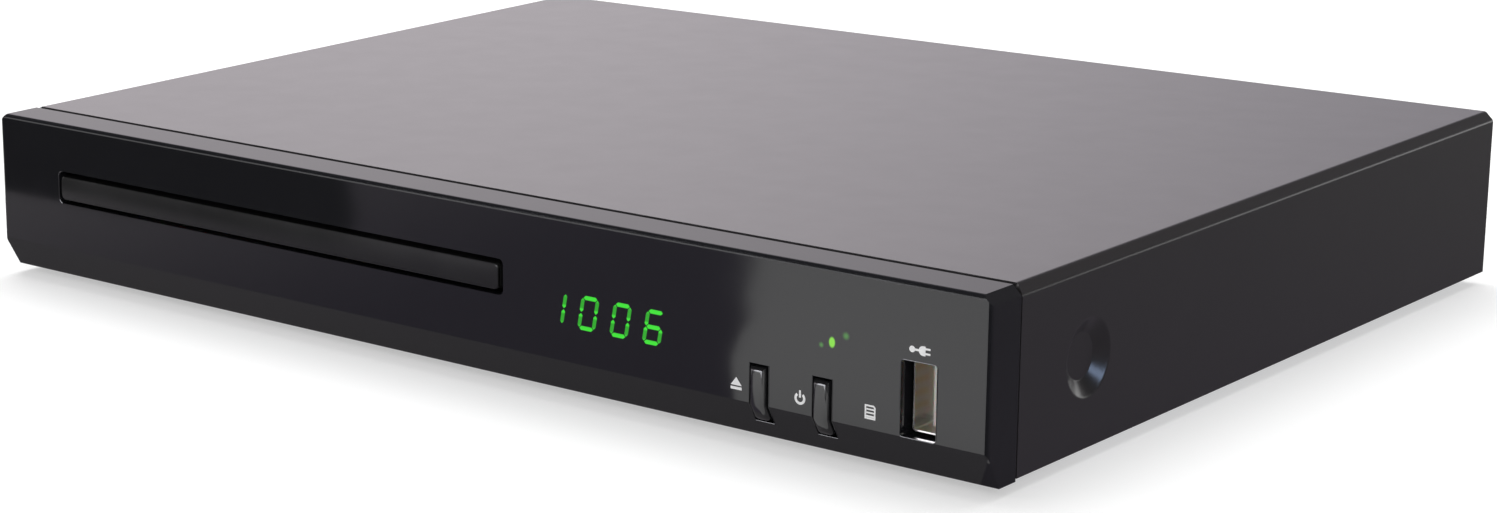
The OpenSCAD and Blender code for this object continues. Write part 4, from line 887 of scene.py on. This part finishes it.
# The cover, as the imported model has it, and the radius of its bends
SHEET = 0.8 * MM
EDGE_CHAMFER = 1.8 * MM
BEND_R = 1.1 * MM
FLANGE_H = 8 * MM
TOP_SETBACK = 1.1 * MM
# The flat next to a bend stays flat from this far on
SUPPORT = 0.15 * MM
# The round recess: its middle, radii of its edge and of its floor, depth, radii of its soft
# edges, and how its floor is filled
DIMPLE_Y = 33.3 * MM
DIMPLE_Z = 17.7 * MM
DIMPLE_R = 7.5 * MM
DIMPLE_FLOOR_R = 4.5 * MM
DIMPLE_H = 1.8 * MM
DIMPLE_LIP_R = 1.2 * MM
DIMPLE_FOOT_R = 0.7 * MM
DIMPLE_CORE_R = 1 * MM
DIMPLE_STEPS = 64


def bend(corner, before, after, radius, steps=6):
    """An arc that rounds a corner between two directions, with a support point at each end."""
    into = (corner - before).normalized()
    out = (after - corner).normalized()
    way = -1 if into.cross(out) < 0 else 1
    turn = into.angle(out)
    reach = radius * math.tan(turn / 2)
    start = corner - into * reach
    arm = Vector((into.y, -into.x)) * way * radius
    centre = start - arm
    points = [start - into * SUPPORT]
    for i in range(steps + 1):
        a = turn * i / steps * way
        points.append(centre + Vector((arm.x * math.cos(a) - arm.y * math.sin(a),
                                       arm.x * math.sin(a) + arm.y * math.cos(a))))
    points.append(corner + out * (reach + SUPPORT))
    return points


def dimple_profile():
    """Radius and depth from the wall into the stamped recess, both of its edges rounded."""
    corners = [Vector((2 * DIMPLE_R, 0)), Vector((DIMPLE_R, 0)),
               Vector((DIMPLE_FLOOR_R, DIMPLE_H)), Vector((0, DIMPLE_H))]
    lip = bend(corners[1], corners[0], corners[2], DIMPLE_LIP_R)
    foot = bend(corners[2], corners[1], corners[3], DIMPLE_FOOT_R)
    return lip + foot + [Vector((DIMPLE_CORE_R, DIMPLE_H))]


def make_cover():
    """The sheet cover with true bends, soft-edged recesses in its sides and a back flange."""
    y0, y1 = COVER_LOW.y, COVER_HIGH.y
    half, top, foot = COVER_HIGH.x, COVER_HIGH.z, COVER_LOW.z
    right = [Vector((half, foot)), Vector((half, top - EDGE_CHAMFER)),
             Vector((half - EDGE_CHAMFER, top)), Vector((0, top))]
    lower = bend(right[1], right[0], right[2], BEND_R)
    upper = bend(right[2], right[1], right[3], BEND_R)
    edge = lower + upper
    bm = bmesh.new()
    profile = edge + [Vector((-p.x, p.y)) for p in reversed(edge)]
    front = []
    for p in profile:
        share = min(1, max(0, (p.y - top + EDGE_CHAMFER) / EDGE_CHAMFER))
        front.append(bm.verts.new((p.x, y0 + TOP_SETBACK * share, p.y)))
    back = [bm.verts.new((p.x, y1, p.y)) for p in profile]
    for i in range(len(profile) - 1):
        bm.faces.new([front[i], front[i + 1], back[i + 1], back[i]])
    for side, upper_front, upper_back in ((1, front[0], back[0]), (-1, front[-1], back[-1])):
        add_side_wall(bm, side, half, foot, upper_front, upper_back)
    flange = [bm.verts.new((v.co.x, y1, top - FLANGE_H)) for v in (back[0], back[-1])]
    bm.faces.new(back + [flange[1], flange[0]])
    bmesh.ops.recalc_face_normals(bm, faces=bm.faces)
    bmesh.ops.solidify(bm, geom=bm.faces, thickness=SHEET)
    cover = make_piece("cover_shell", bm, "cover_paint", "case", smooth_deg=30)
    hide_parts("top_cover")


def add_side_wall(bm, side, half, foot, upper_front, upper_back):
    """One side wall, with its round recess let in."""
    y0, y1 = upper_front.co.y, upper_back.co.y
    x = side * half
    lower_front = bm.verts.new((x, y0, foot))
    lower_back = bm.verts.new((x, y1, foot))
    cy = FACE_Y + DIMPLE_Y
    cz = PANEL_Z + DIMPLE_Z
    turns = [2 * math.pi * k / DIMPLE_STEPS for k in range(DIMPLE_STEPS)]
    rings = [[bm.verts.new((x - side * p.y, cy + p.x * math.cos(turn), cz + p.x * math.sin(turn)))
              for turn in turns] for p in dimple_profile()]
    for outer, inner in zip(rings, rings[1:]):
        for k in range(DIMPLE_STEPS):
            j = (k + 1) % DIMPLE_STEPS
            bm.faces.new([outer[k], outer[j], inner[j], inner[k]])
    bm.faces.new(rings[-1])
    corners = [lower_front, lower_back, upper_back, upper_front]
    edges = []
    for i, vert in enumerate(corners):
        after = corners[(i + 1) % len(corners)]
        edges.append(bm.edges.get((vert, after)) or bm.edges.new((vert, after)))
    for k in range(DIMPLE_STEPS):
        edges.append(bm.edges.get((rings[0][k], rings[0][(k + 1) % DIMPLE_STEPS])))
    bmesh.ops.triangle_fill(bm, edges=edges, use_beauty=True)


# ---- Main ----

make_camera()
make_studio()
finishes = make_finishes()
for part in frame["record"]["subparts"]:
    for place in frame["nodes"][part["node"]].material_slots:
        place.material = finishes[part["material_slot"]]

for button in BUTTONS:
    make_button(button)
make_rims()
make_tray_fascia()
make_symbols()
make_led_painted_reflections()
make_cover()
